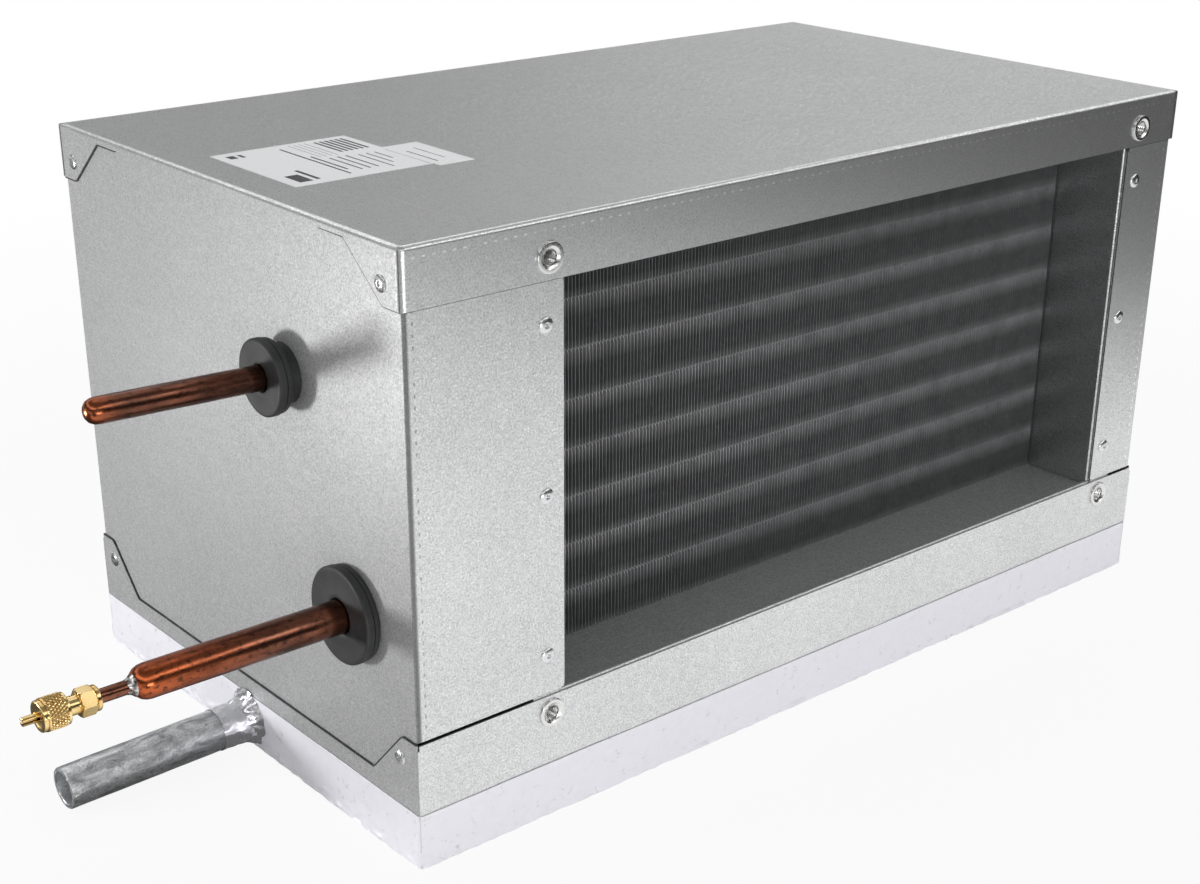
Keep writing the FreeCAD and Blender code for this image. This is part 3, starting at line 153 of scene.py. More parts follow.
class Finish(Nodes):
    """A material under construction: a surface shader and the nodes that feed it."""

    def __init__(self, name, metallic=0):
        self.material = bpy.data.materials.new(name)
        super().__init__(self.material)
        self.surface = self.tree.nodes["Principled BSDF"]
        self.feed("Metallic", metallic)
        self.place = self.node("TexCoord").outputs["Object"]

    def feed(self, socket, source):
        self.join(self.surface.inputs[socket], source)

    def stretched(self, scale, turn=(0, 0, 0)):
        """The place on the object, scaled by an amount for each axis."""
        mapping = self.node("Mapping", {"Vector": self.place, "Scale": scale, "Rotation": turn})
        return mapping.outputs["Vector"]

    def noise(self, scale, detail=3, roughness=0.5, place=None, distortion=0):
        inputs = {"Vector": place or self.place, "Scale": scale, "Detail": detail}
        inputs |= {"Roughness": roughness, "Distortion": distortion}
        return self.node("TexNoise", inputs).outputs["Fac"]

    def cells(self, scale, place=None, feature="F1"):
        inputs = {"Vector": place or self.place, "Scale": scale}
        return self.node("TexVoronoi", inputs, feature=feature)

    def mix(self, factor, first, second, blend_type="MIX"):
        """Mix two colours, each a socket or a plain colour."""
        made = self.node("Mix", data_type="RGBA", blend_type=blend_type)
        self.join(made.inputs[0], factor)
        colour_sockets = [socket for socket in made.inputs if socket.type == "RGBA"]
        for socket, colour in zip(colour_sockets, (first, second)):
            self.join(socket, (*colour, 1) if isinstance(colour, tuple) else colour)
        return next(socket for socket in made.outputs if socket.type == "RGBA")

    def axis(self, letter):
        return self.node("SeparateXYZ", {0: self.place}).outputs[letter]

    def gap(self, letter, level):
        """The distance from a level of one axis."""
        return self.math("ABSOLUTE", self.math("SUBTRACT", self.axis(letter), level * MM))

    def done(self, colour, rough, *bumps):
        """The finished material; each bump is a height, a strength and a distance."""
        self.feed("Base Color", colour)
        self.feed("Roughness", rough)
        inputs = {}
        for height, strength, distance in bumps:
            inputs |= {"Height": height, "Strength": strength, "Distance": distance}
            inputs["Normal"] = self.node("Bump", inputs).outputs["Normal"]
        if bumps:
            self.feed("Normal", inputs["Normal"])
        return self.material


def galvanised(name, tone=0.64, roughness=0.33, metallic=0.8, worn=0.35, marks=(), lines=(), folds=(),
               painted_shade_side=None):
    """Zinc-coated sheet: speckle, faint spangle, rolling haze and scratches.

    Marks are rows left by the press, lines are painted shade lines where shade falls under a flange
    or in a fold, folds are the softly rounded edges, and the last argument gives the X below which
    the face carries painted shade, a darker colour, and is also rougher and less metallic.
    """
    coat = Finish(name, metallic)
    speckle = coat.noise(1050, roughness=0.75)
    haze = coat.noise(9, detail=5, roughness=0.6)
    spangle = coat.cells(420).outputs["Color"]
    light = coat.span(speckle, 0.3, 0.7, -0.2, 0.2)
    cloud = coat.span(haze, 0.3, 0.7, -0.025, 0.025)
    spangle_tone = coat.span(spangle, 0, 1, -0.04, 0.04)
    total = coat.math("ADD", light, cloud, spangle_tone)
    dark = (tone - 0.24, tone - 0.235, tone - 0.235)
    pale = (tone + 0.21, tone + 0.215, tone + 0.22)
    colour = coat.mix(coat.span(total, -0.2, 0.2), dark, pale)
    scratched = coat.stretched((14, 0.35, 14), (0.3, 0.2, 0.5))
    scratch = coat.noise(60, detail=2, roughness=0.3, place=scratched)
    colour = coat.mix(coat.span(scratch, 0.7, 0.74, 0, worn), colour, pale)
    rough = coat.span(total, -0.2, 0.2, roughness + 0.09, roughness - 0.09)
    if painted_shade_side is not None:
        # Painted shade: below this X the colour is darkened to stand in for shade on the left faces; the
        # finish there is also rougher and less metallic.
        painted_shade_tone = (0.72, 0.72, 0.72)
        dull_metallic = 0.42
        side = coat.math("LESS_THAN", coat.axis("X"), painted_shade_side * MM)
        colour = coat.mix(side, colour, coat.mix(1, colour, painted_shade_tone, "MULTIPLY"))
        rough = coat.math("ADD", rough, coat.product(side, 0.14))
        coat.feed("Metallic", coat.span(side, 0, 1, metallic, dull_metallic))
    for *row, mark in marks:
        colour = coat.mix(press_marks(coat, *row), colour, mark)
    for line in lines:
        # Painted shade: each line is a near-black band where shade falls.
        colour = coat.mix(painted_shade_line(coat, *line), colour, (0.07, 0.07, 0.072))
    folded = [(fold_height(coat, *fold), 1, 1) for fold in folds]
    return coat.done(colour, rough, (speckle, 0.6, 0.00008), (haze, 0.2, 0.0004), *folded)


def press_marks(coat, across, at, along):
    """A worn row of short marks at a level of one axis, running along another."""
    row = coat.span(coat.gap(across, at), 0.3 * MM, 0.5 * MM, 1, 0)
    wave = coat.math("FRACT", coat.math("DIVIDE", coat.axis(along), PRESS_PITCH * MM))
    dash = coat.span(wave, 0.28, 0.36, 1, 0)
    worn = coat.span(coat.noise(90, detail=2), 0.32, 0.5)
    return coat.product(row, dash, worn)


def painted_shade_line(coat, letter, level, width, depth):
    """A soft line of painted shade at a level of one axis, on what lies in front of a depth."""
    line = coat.span(coat.gap(letter, level), 0.25 * width * MM, width * MM, 0.8, 0)
    return coat.product(line, coat.math("LESS_THAN", coat.axis("Y"), depth * MM))


def fold_height(coat, letter, edge, reach):
    """The fall of a soft fold: a parabola over its reach from the edge, in metres."""
    inside = coat.math("MAXIMUM", coat.math("SUBTRACT", reach * MM, coat.gap(letter, edge)), 0)
    return coat.product(inside, inside, -0.5 / (reach * MM))


def foil(name, tone=(0.92, 0.91, 0.97), metallic=0.15, roughness=0.36):
    """Aluminium foil with its lilac sheen, fine wrinkles and sharp creases."""
    coat = Finish(name, metallic)
    wrinkle = coat.noise(160, detail=5, roughness=0.65, distortion=0.8)
    crease = coat.cells(55, coat.stretched((1, 1, 1.8)), "DISTANCE_TO_EDGE").outputs["Distance"]
    darker = tuple(0.95 * part for part in tone)
    colour = coat.mix(coat.span(wrinkle, 0.25, 0.6), darker, tone)
    rough = coat.span(wrinkle, 0.3, 0.7, roughness - 0.12, roughness + 0.12)
    ridge = coat.span(crease, 0, 0.08)
    return coat.done(colour, rough, (wrinkle, 0.35, 0.0003), (ridge, 0.25, 0.0002))


def copper(name, fresh_from=None, fresh_to=None, fresh=(0.5, 0.115, 0.038)):
    """Copper tube: dark brown tarnish, orange where the torch cleaned it, and small dark spots."""
    coat = Finish(name, metallic=1)
    long = coat.stretched((0.3, 1, 1))
    patches = coat.noise(95, detail=5, roughness=0.65, place=long)
    spots = coat.noise(560, place=coat.stretched((0.6, 1, 1)))
    colour = coat.mix(coat.span(patches, 0.36, 0.68), (0.06, 0.028, 0.02), (0.26, 0.1, 0.06))
    if fresh_from is not None:
        cleaned = coat.span(coat.axis("X"), fresh_from * MM, fresh_to * MM)
        glow = coat.product(cleaned, coat.span(patches, 0.3, 0.6, 0.45, 1))
        colour = coat.mix(glow, colour, fresh)
    colour = coat.mix(coat.span(spots, 0.54, 0.68, 0, 0.8), colour, (0.05, 0.025, 0.018))
    rough = coat.span(patches, 0.3, 0.7, 0.34, 0.17)
    return coat.done(colour, rough, (spots, 0.25, 0.0001), (coat.noise(210, place=long), 0.35, 0.0003))


def zinc_pipe(name, dull=(0.27, 0.28, 0.29), pale=(0.93, 0.94, 0.95)):
    """Hot-dipped steel pipe: bright runs and dull grey patches along its length."""
    coat = Finish(name, metallic=0.9)
    runs = coat.noise(130, detail=7, roughness=0.75, place=coat.stretched((0.4, 1, 1)), distortion=0.6)
    flakes = coat.cells(300).outputs["Color"]
    grain = coat.noise(760, detail=4, roughness=0.7)
    blotch = coat.math("ADD", coat.span(runs, 0.42, 0.6, 0, 0.75), coat.span(flakes, 0, 1, 0, 0.25))
    colour = coat.mix(blotch, dull, pale)
    specks = tuple(0.6 * part for part in dull)
    colour = coat.mix(coat.span(grain, 0.56, 0.68, 0, 0.7), colour, specks)
    rough = coat.span(blotch, 0, 1, 0.5, 0.24)
    return coat.done(colour, rough, (runs, 0.8, 0.0007), (grain, 0.5, 0.00015))


def rubber(name):
    """Black rubber with a grey bloom and short moulding marks."""
    coat = Finish(name)
    bloom = coat.noise(60, detail=5)
    grain = coat.noise(1600, detail=2)
    colour = coat.mix(coat.span(bloom, 0.35, 0.7), (0.016, 0.016, 0.017), (0.034, 0.035, 0.036))
    scuffed = coat.stretched((1, 0.12, 1), (0.7, 0.2, 0.4))
    scuff = coat.noise(120, detail=2, roughness=0.3, place=scuffed)
    colour = coat.mix(coat.span(scuff, 0.68, 0.74, 0, 0.5), colour, (0.1, 0.1, 0.1))
    return coat.done(colour, coat.span(grain, 0.3, 0.7, 0.46, 0.64), (grain, 0.3, 0.00006))


def fin_foil(name):
    """Thin fins: dusty grey, with a painted highlight: a bright line along the pressed rib over each tube,
    bright bands that fade above and below it, and the line weaker towards the right.
    """
    coat = Finish(name, metallic=0.75)
    rib_highlight_rise = TUBE_RADIUS + 0.4
    start = (FIRST_TUBE + rib_highlight_rise - 20.5 * TUBE_PITCH) * MM
    climb = coat.math("DIVIDE", coat.math("SUBTRACT", coat.axis("Z"), start), TUBE_PITCH * MM)
    offset = coat.math("SUBTRACT", coat.math("FRACT", climb), 0.5)
    over = coat.math("GREATER_THAN", offset, 0)
    under = coat.math("SUBTRACT", 1, over)
    # Painted highlight: bright bands that fade above and below each tube's rib.
    above = coat.product(coat.span(offset, 0, 0.2, 0.6, 0), over)
    below = coat.product(coat.span(offset, -0.38, -0.04, 0, 0.9), under)
    dust = coat.noise(70, detail=4)
    grain = coat.noise(420, place=coat.stretched((2, 0.4, 1)))
    colour = coat.mix(coat.math("ADD", above, below), (0.33, 0.335, 0.34), (0.82, 0.83, 0.84))
    colour = coat.mix(coat.span(dust, 0.4, 0.8, 0, 0.4), colour, (0.12, 0.125, 0.13))
    colour = coat.mix(coat.span(grain, 0.52, 0.7, 0, 0.5), colour, (0.42, 0.43, 0.44))
    # Painted highlight: the bright line along each rib, fading towards the right.
    line = coat.span(coat.math("ABSOLUTE", offset), 0.014, 0.024, 1, 0)
    line = coat.product(line, coat.span(coat.axis("X"), -0.12, 0.08, 1, 0.15))
    colour = coat.mix(line, colour, (0.92, 0.93, 0.94))
    return coat.done(colour, coat.span(dust, 0.3, 0.7, 0.4, 0.55))


def grained(name, colours, scale, detail, span, rough, metallic=0, bump=()):
    """A plain finish: one noise mixes two colours and moves the roughness between two values."""
    coat = Finish(name, metallic)
    grain = coat.noise(scale, detail)
    colour = coat.mix(coat.span(grain, *span), *colours)
    bumps = [(grain, *bump)] if bump else []
    return coat.done(colour, coat.span(grain, 0.3, 0.7, *rough), *bumps)


def brass(name, roughness=0.2):
    colours = ((0.74, 0.5, 0.19), (0.92, 0.7, 0.34))
    return grained(name, colours, 110, 4, (0.35, 0.7), (roughness + 0.08, roughness - 0.04), 1)


def bright_metal(name, colour, roughness):
    """Zinc-plated or aluminium small parts."""
    dull = tuple(0.86 * part for part in colour)
    rough = (roughness - 0.06, roughness + 0.12)
    return grained(name, (dull, colour), 1400, 3, (0.35, 0.65), rough, 1, (0.15, 0.00004))


def silver_braze(name):
    """Silver solder, burnt dark in places."""
    colours = ((0.09, 0.06, 0.05), (0.78, 0.77, 0.76))
    return grained(name, colours, 420, 4, (0.4, 0.62), (0.5, 0.2), 1, (0.4, 0.0002))


def plastic(name, colour):
    darker = tuple(0.8 * part for part in colour)
    return grained(name, (darker, colour), 700, 3, (0.3, 0.7), (0.38, 0.52), bump=(0.2, 0.00005))


def paper(name):
    return grained(name, ((0.93, 0.94, 0.96), (0.99, 0.99, 1)), 800, 4, (0.3, 0.7), (0.34, 0.48))


def ink(name):
    return grained(name, ((0.025, 0.025, 0.028), (0.2, 0.2, 0.21)), 500, 4, (0.55, 0.8), (0.42, 0.6))


# Shapes


class Form:
    """Points in millimetres and faces, gathered before they become a piece."""

    def __init__(self):
        self.points = []
        self.faces = []
        self.kinds = []

    def add(self, points, faces):
        first = len(self.points)
        self.points.extend(Vector(point) for point in points)
        self.faces.extend(tuple(first + i for i in face) for face in faces)
        self.kinds.extend([0] * len(faces))
        return self

    def stamp(self, other, matrix=Matrix.Identity(4)):
        """Add another form, moved by a matrix."""
        self.add([matrix @ point for point in other.points], other.faces)

    def moved(self, matrix):
        self.points = [matrix @ point for point in self.points]
        return self

    def skin(self, rings, ends=0, wrap=True, flip=False):
        """Add quads between rings of equal length; 1 closes the first ring and 2 closes both ends."""
        count = len(rings[0])
        points = [point for ring in rings for point in ring]
        faces = []
        for r in range(len(rings) - 1):
            for i in range(count if wrap else count - 1):
                j = (i + 1) % count
                faces.append((r * count + i, r * count + j, (r + 1) * count + j, (r + 1) * count + i))
        if ends:
            faces.append(tuple(reversed(range(count))))
        if ends > 1:
            faces.append(tuple(range(len(points) - count, len(points))))
        return self.add(points, [face[::-1] for face in faces] if flip else faces)


def circle(x, radius, sides):
    """A ring of points round the X axis; the radius may be a function of the angle."""
    ring = []
    for i in range(sides):
        angle = 2 * pi * i / sides
        r = radius(angle) if callable(radius) else radius
        ring.append((x, r * cos(angle), r * sin(angle)))
    return ring


def lathe(profile, sides=48, swell=None, ends=0):
    """Turn (x, radius) points about the X axis; swell changes a radius by place and angle."""
    rings = []
    for x, radius in profile:
        rings.append(circle(x, (lambda angle: radius + swell(x, angle, radius)) if swell else radius, sides))
    return Form().skin(rings, ends=ends)


def arc(centre_x, centre_r, radius, start, stop, steps=4):
    """Profile points on a circle, from a start angle to a stop angle in degrees from +X."""
    spots = []
    for i in range(steps + 1):
        angle = radians(start + (stop - start) * i / steps)
        spots.append((centre_x + radius * cos(angle), centre_r + radius * sin(angle)))
    return spots


def shifted(profile, start):
    """A profile moved along its axis."""
    return [(start + x, radius) for x, radius in profile]


def straight(start, end, radius, steps):
    """Profile points along a pipe, after the first one."""
    return [(start + (end - start) * i / steps, radius) for i in range(1, steps + 1)]


def triangle_wave(value):
    """1 at whole numbers and 0 halfway between them."""
    return abs((value % 1) - 0.5) * 2


def dented(seed, amount, length):
    """Small uneven changes of a radius along a pipe."""

    def swell(x, angle, radius):
        spot = Vector((x / length, cos(angle), sin(angle))) * 1.7
        return amount * noise.noise(spot + Vector((seed, 0, 0)))

    return swell


def rounded_path(corners, radius, steps=8):
    """A path through corners, each replaced by an arc."""
    points = [Vector(corner) for corner in corners]
    path = points[:1]
    for before, corner, after in zip(points, points[1:], points[2:]):
        back = (before - corner).normalized()
        ahead = (after - corner).normalized()
        turn = pi - back.angle(ahead)
        start = corner + back * radius * tan(turn / 2)
        centre = corner + (back + ahead).normalized() * (radius / cos(turn / 2))
        axis = ahead.cross(back)
        for i in range(steps + 1):
            step = Matrix.Rotation(turn * i / steps, 3, axis)
            path.append(centre + step @ (start - centre))
    return path + points[-1:]


def headings(path):
    """The points of a path with the direction in which it runs at each."""
    for i, point in enumerate(path):
        yield point, (path[min(i + 1, len(path) - 1)] - path[max(i - 1, 0)]).normalized()


def sweep(path, radius, sides=24):
    """A round bar along a path, with its section carried along without twist."""
    side = (path[1] - path[0]).normalized().orthogonal().normalized()
    rings = []
    for point, direction in headings(path):
        side = (side - direction * side.dot(direction)).normalized()
        up = direction.cross(side)
        angles = [2 * pi * k / sides for k in range(sides)]
        rings.append([point + radius * (cos(angle) * side + sin(angle) * up) for angle in angles])
    return Form().skin(rings, ends=2)


def placed(name, data):
    """A new object in the scene."""
    made = bpy.data.objects.new(name, data)
    bpy.context.scene.collection.objects.link(made)
    return made


def make(name, form, materials, node=None, body="root", slot=None, flat=35):
    """Turn a form into a piece that rides on a body and stands for a CAD node, which it hides; the slot is
    not used.
    """
    mesh = bpy.data.meshes.new(name)
    mesh.from_pydata([point * MM for point in form.points], [], form.faces)
    for material in materials if isinstance(materials, list) else [materials]:
        mesh.materials.append(material)
    mesh.polygons.foreach_set("material_index", form.kinds)
    mesh.shade_smooth()
    mesh.set_sharp_from_angle(angle=radians(flat))
    mesh.validate()
    piece = placed(name, mesh)
    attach(piece, body)
    if node:
        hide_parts(node)
    slot or node
    return piece


def dress(material, *nodes):
    """Give CAD nodes a better material."""
    for node in nodes:
        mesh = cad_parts[node].data
        mesh.materials.clear()
        mesh.materials.append(material)


# Casing: the CAD sheets with zinc-coated finishes
ear_face = case_low.x + 0.2
left_face = node_box("left_side_panel")[0].x
right_face = node_box("right_side_panel")[1].x
bright_mark = (0.95, 0.95, 0.96)
dark_mark = (0.34, 0.34, 0.345)
lid_folds = [("Y", case_low.y, 3.2), ("Y", case_high.y, 3), ("X", case_low.x, 3.2), ("X", case_high.x, 3),
             ("Z", case_high.z, 1.8)]
lid_marks = [("Z", case_high.z - 5, "X", bright_mark)]
# lid_shadow is a painted shadow under the lid's flange; the left panel's second line is painted shade in the
# fold at its front corner.
lid_shadow = ("Z", duct_top - 0.3, 0.6, 2)
left_shade_lines = [lid_shadow, ("X", left_face + 1.1, 1.7, 2)]
left_marks = [("X", left_face + 4.8, "Z", dark_mark)]
right_marks = [("X", right_face - 4.5, "Z", bright_mark)]
# The tray, ceiling, lid and left panel carry painted shade, a darker colour, on their faces below the X they
# are given.
dress(galvanised("zinc_coated_sheet", painted_shade_side=ear_face), "drip_tray", "duct_ceiling")
lid_sheet = galvanised("lid_sheet", metallic=0.86, marks=lid_marks, folds=lid_folds, painted_shade_side=ear_face)
dress(lid_sheet, "top_cover")
left_sheet = galvanised("left_sheet", marks=left_marks, lines=left_shade_lines, painted_shade_side=left_face + 0.9)
dress(left_sheet, "left_side_panel")
dress(galvanised("right_sheet", marks=right_marks, lines=[lid_shadow]), "right_side_panel")
dress(galvanised("floor_sheet", tone=0.66, roughness=0.42, metallic=0.75), "duct_floor")
inner_sheet = galvanised("inner_sheet", tone=0.48, roughness=0.3, metallic=0.9, worn=0.05)
dress(inner_sheet, "left_end_plate", "right_end_plate")


# Seams: dark strips of painted shadow along the ears, and of painted shade in the open seams at the cover's
# corners and beside the right end plate
def ear_shadow_strip(form, side, corners, width, away):
    """A dark strip on a side panel along an ear's outline, a painted shadow of the ear's edge; away is 1
    above the line and -1 below it.
    """
    corner_radius = 4
    face = case_low.x + LAP if side < 0 else case_high.x - LAP
    proud = Vector((side * 0.9, 0, 0))
    back = Vector((-side * 0.1, 0, 0))
    rings = []
    for point, ahead in headings(rounded_path([(face, y, z) for y, z in corners], corner_radius)):
        out = Vector((0, -ahead.z, ahead.y)) * away * width
        rings.append([point + back, point + proud, point + proud + out, point + back + out])
    form.skin(rings, ends=2)


def block(form, low, high):
    """A plain box between two corners."""
    section = [(low[1], low[2]), (high[1], low[2]), (high[1], high[2]), (low[1], high[2])]
    form.skin([[(x, y, z) for y, z in section] for x in (low[0], high[0])], ends=2)


def seam_shadow_strips():
    """The painted shadow lines along the tray's and the lid's ears, drawn in front and turned round for the
    rear, and the painted shade in the seams at the lid's corners and beside the right end plate.
    """
    tray_root = tray_top - TRAY_FLANGE + 11.3
    lid_root = case_high.z - 3.6
    post = 201.1
    thin = 0.45
    wide = 0.75
    tray_ear = [(1, tray_top), (12, tray_top), (36.5, tray_root)]
    lid_ear = [(1.3, duct_top), (13.5, duct_top), (41, lid_root), (60, lid_root)]
    rear_tray_ear = [(case_depth - y, z) for y, z in reversed(tray_ear)]
    rear_lid_ear = [(case_depth - y, z) for y, z in reversed(lid_ear)]
    form = Form()
    for side, wall in ((-1, case_low.x), (1, case_high.x)):
        ear_shadow_strip(form, side, tray_ear + rear_tray_ear, wide, 1)
        ear_shadow_strip(form, side, lid_ear, thin, -1)
        ear_shadow_strip(form, side, rear_lid_ear, wide, -1)
        # Painted shade in the open seams at the lid's corners.
        for start in (SHEET - 0.2, case_depth - SHEET - 0.6):
            block(form, (wall - 0.02, start, duct_top + 0.2), (wall + 0.02, start + 0.8, case_high.z - 1.2))
    # Painted shade in the gap beside the right end plate's post, and a notch of it under the lid's flange.
    block(form, (post, LAP - 0.08, tray_top), (post + 1, LAP + 0.1, duct_top))
    notch = [(post - 1.4, duct_top), (post + 2.6, duct_top), (post + 0.8, duct_top - 3.4)]
    form.skin([[(x, y, z) for x, z in notch] for y in (LAP - 0.1, LAP + 0.1)], ends=2)
    return form


make("casing_seam_shadows", seam_shadow_strips(), ink("seam_shadow"), slot="left_side_panel")


# Rivet nuts: round flange, threaded bore and hexagonal barrel
def rivet_nut():
    flange_radius = 7.15
    flange_height = 1.2
    barrel = 13
    barrel_flats = 10.6
    rim = 5
    bore = 3.32
    thread_depth = 0.55
    thread_start = 0.9
    pitch = 1.25
    rows_per_turn = 12
    turns = int((barrel + flange_height - 1) / pitch)

    def thread(x):
        """The bore's radius by angle at a place in the thread."""
        turns_in = (x - thread_start) / pitch
        return lambda angle: bore + thread_depth * triangle_wave(turns_in - angle / (2 * pi))

    flange = [
        (thread_start, bore + thread_depth), (0.5, bore + 1.4), (0, bore + 2),
        *arc(0.45, flange_radius - 0.45, 0.45, 180, 90), (flange_height, flange_radius),
    ]
    rows = [thread_start + pitch * r / rows_per_turn for r in range(turns * rows_per_turn + 1)]
    nut = lathe(flange)
    nut.skin([circle(x, thread(x), 36) for x in rows])
    nut.skin([circle(x, barrel_flats / sqrt(3), 6) for x in (flange_height, rows[-1])])
    nut.skin([circle(flange_height, radius, 48) for radius in (flange_radius, bore)])
    nut.skin([circle(rows[-1], radius, 48) for radius in (rim, bore)])
    return nut


TO_RIGHT, TO_REAR, TO_LEFT, TO_FRONT = [turned(degrees, "Z") for degrees in (0, 90, 180, -90)]


def stamped(master, places):
    """Copies of a form at points, each turned by a matrix."""
    form = Form()
    for point, turn in places:
        form.stamp(master, Matrix.Translation(point) @ turn)
    return form


nut_finish = bright_metal("zinc_plated_steel", (0.72, 0.72, 0.71), 0.24)
nut = rivet_nut()
for node, y, turn in (("inlet_rivet_nuts", -1.2, TO_REAR), ("outlet_rivet_nuts", case_depth + 1.2, TO_FRONT)):
    spots = [(Vector((x * BOLT.x, y, z * BOLT.z)), turn) for x in (-1, 1) for z in (-1, 1)]
    make(node.replace("nuts", "nut_set"), stamped(nut, spots), nut_finish, node)


# Blind rivets: a low dome with the sunk end of its mandrel
def blind_rivet():
    radius = 3.9
    height = 1.2
    hole = 1.2
    mandrel = [(0.58, 0.05), (0.62, hole - 0.75), (0.8, hole - 0.35), (0.75, hole - 0.12), (0.08, hole)]
    dome = [(height - 0.85, radius - 0.75), (height - 0.55, radius - 0.22), (height - 0.25, radius)]
    return lathe([*mandrel, (0, hole + 0.3), (0.08, hole + 0.75), *dome, (height, radius)], 32, ends=1)


def rivet_places(node, axis, turns):
    """The outer face of each head in a rivet node, with the turn for its side of the casing."""
    clusters = []
    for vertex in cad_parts[node].data.vertices:
        spot = vertex.co / MM
        near = [cluster for cluster in clusters if (cluster[0] - spot).length < 8]
        if near:
            near[0].append(spot)
        else:
            clusters.append([spot])
    for cluster in clusters:
        low, high = [Vector([pick(spot[k] for spot in cluster) for k in range(3)]) for pick in (min, max)]
        place = (low + high) / 2
        beyond = place[axis] > (case_low + case_high)[axis] / 2
        place[axis] = high[axis] if beyond else low[axis]
        yield place, turns[beyond]


rivet_finish = bright_metal("rivet_aluminium", (0.72, 0.72, 0.73), 0.26)
rivet = blind_rivet()
for node in ("front_flange_rivets", "rear_flange_rivets", "ear_rivets"):
    ear = node == "ear_rivets"
    places = rivet_places(node, 0 if ear else 1, (TO_RIGHT, TO_LEFT) if ear else (TO_REAR, TO_FRONT))
    make(node.replace("rivets", "rivet_set"), stamped(rivet, places), rivet_finish, node)


# Fin pack: thin fins with pressed ribs at the tubes and waved edges
def rim_of(rings):
    """The points round the rim of a sheet that is given in rows."""
    right = [ring[-1] for ring in rings[1:-1]]
    left = [ring[0] for ring in rings[-2:0:-1]]
    return rings[0] + right + rings[-1][::-1] + left


def fin_set():
    pitch = 2.15
    thickness = 0.14
    rib_depth = 0.42
    count = round((coil_high.x - coil_low.x - thickness) / pitch) + 1
    columns = [0, 0.5, 1.1, 2, 3.4, 6, 12, 22, 40, coil_high.y - coil_low.y]
    offsets = [-12.5, -9, -6, -3, 0, 2.5, 4, 4.6, 5, 5.4, 5.8, 6.6, 9]
    rows = [FIRST_TUBE + TUBE_PITCH * tube + offset for tube in range(-1, 9) for offset in offsets]
    levels = sorted({min(max(row, coil_low.z), coil_high.z) for row in rows} | {coil_low.z, coil_high.z})
    form = Form()
    random.seed(5)
    for number in range(count):
        x = coil_low.x + thickness / 2 + pitch * number
        lean = random.uniform(-0.12, 0.12)
        left, right = [], []
        for z in levels:
            offset = (z - FIRST_TUBE + TUBE_PITCH / 2) % TUBE_PITCH - TUBE_PITCH / 2
            rib = exp(-(((offset - 5) / 0.5) ** 2))
            push = 0.12 * sin(z * 0.21 + number * 1.7) + lean - rib_depth * rib
            for rings, wall in ((left, x - thickness / 2), (right, x + thickness / 2)):
                rings.append([(wall + push * exp(-y / 2.2), coil_low.y + y, z) for y in columns])
        form.skin(left, wrap=False)
        form.skin(right, wrap=False, flip=True)
        form.skin([rim_of(right), rim_of(left)])
    return form


make("fins", fin_set(), fin_foil("fin_foil"), "fin_pack", flat=60)


# Coil tubes: smooth hairpins at the right, return bends at the left, header and distributor tubes
CIRCUITS = (0, 2, 4, 6)


def tube_place(row, number, x):
    lift = FIRST_TUBE - (TUBE_PITCH / 2 if row % 2 else 0)
    return Vector((x, coil_low.y + ROW_PITCH / 2 + row * ROW_PITCH, lift + number * TUBE_PITCH))


def u_tube(start, turn_start, turn_end, end, reach):
    radius = (turn_end - turn_start).length / 2
    out = Vector((reach * radius, 0, 0))
    return sweep(rounded_path([start, turn_start + out, turn_end + out, end], radius * 0.999), TUBE_RADIUS)


hairpins = Form()
for row in range(3):
    for number in CIRCUITS:
        ends = [tube_place(row, number + i, x) for i in (0, 1) for x in (-TUBE_END, TUBE_END)]
        hairpins.stamp(u_tube(ends[0], ends[1], ends[3], ends[2], 1))
coil_copper = copper("coil_copper")
make("coil_hairpins", hairpins, coil_copper, "hairpin_tubes")

returns = Form()
leg = Vector((-3, 0, 0))
for number in CIRCUITS:
    for row in (2, 1):
        here, there = [tube_place(r, number + row % 2, -TUBE_END) for r in (row, row - 1)]
        returns.stamp(u_tube(here, here + leg, there + leg, there, -1))
make("coil_return_bends", returns, coil_copper, "return_bends")

UPRIGHT = turned(-90, "Y")
header_low, header_high = node_box("suction_header")
header_x = (header_low.x + header_high.x) / 2
header_radius = (header_high.y - header_low.y) / 2
dome = [(0, 0.1), (0.6, header_radius - 4), (2.4, header_radius - 1), (4.4, header_radius)]
header_profile = shifted(dome, header_low.z) + [(header_high.z - x, radius) for x, radius in reversed(dome)]
header = lathe(header_profile, ends=2).moved(Matrix.Translation((header_x, SUCTION_Y, 0)) @ UPRIGHT)
make("header_tube", header, coil_copper, "suction_header")

branches = Form()
for number in CIRCUITS:
    outlet = tube_place(0, number, -TUBE_END)
    inner = Vector((header_x + header_radius - 1.2, outlet.y, outlet.z))
    branches.stamp(sweep([outlet, outlet.lerp(inner, 0.5), inner], TUBE_RADIUS))
make("header_branch_tubes", branches, coil_copper, "header_branches")


# Copper pipes outside the casing
def domed_pipe(dome, tip, end, sides, swell):
    """A pipe from a closed tip to its end; dome holds places behind the tip with their radii."""
    profile = shifted(dome, tip)
    start, radius = profile[-1]
    return lathe(profile + straight(start, end, radius, 40), sides, swell, ends=2)


SUCTION_AXIS = Matrix.Translation((0, SUCTION_Y, SUCTION_Z))
suction_low, suction_high = node_box("suction_pipe")
suction_tip = suction_low.x
suction_dome = [(0, 3.3), (0.5, 4.2), (1.5, 5.6), (3, 6.9), (5, 7.7), (7.5, 8.02), (9, 8)]
suction = domed_pipe(suction_dome, suction_tip, suction_high.x, 64, dented(3, 0.09, 24)).moved(SUCTION_AXIS)
suction_copper = copper("suction_copper", suction_tip + 62, suction_tip + 6)
make("suction_line", suction, suction_copper, "suction_pipe")

LIQUID_SLOPE = turned(LIQUID_RISE, "Y")


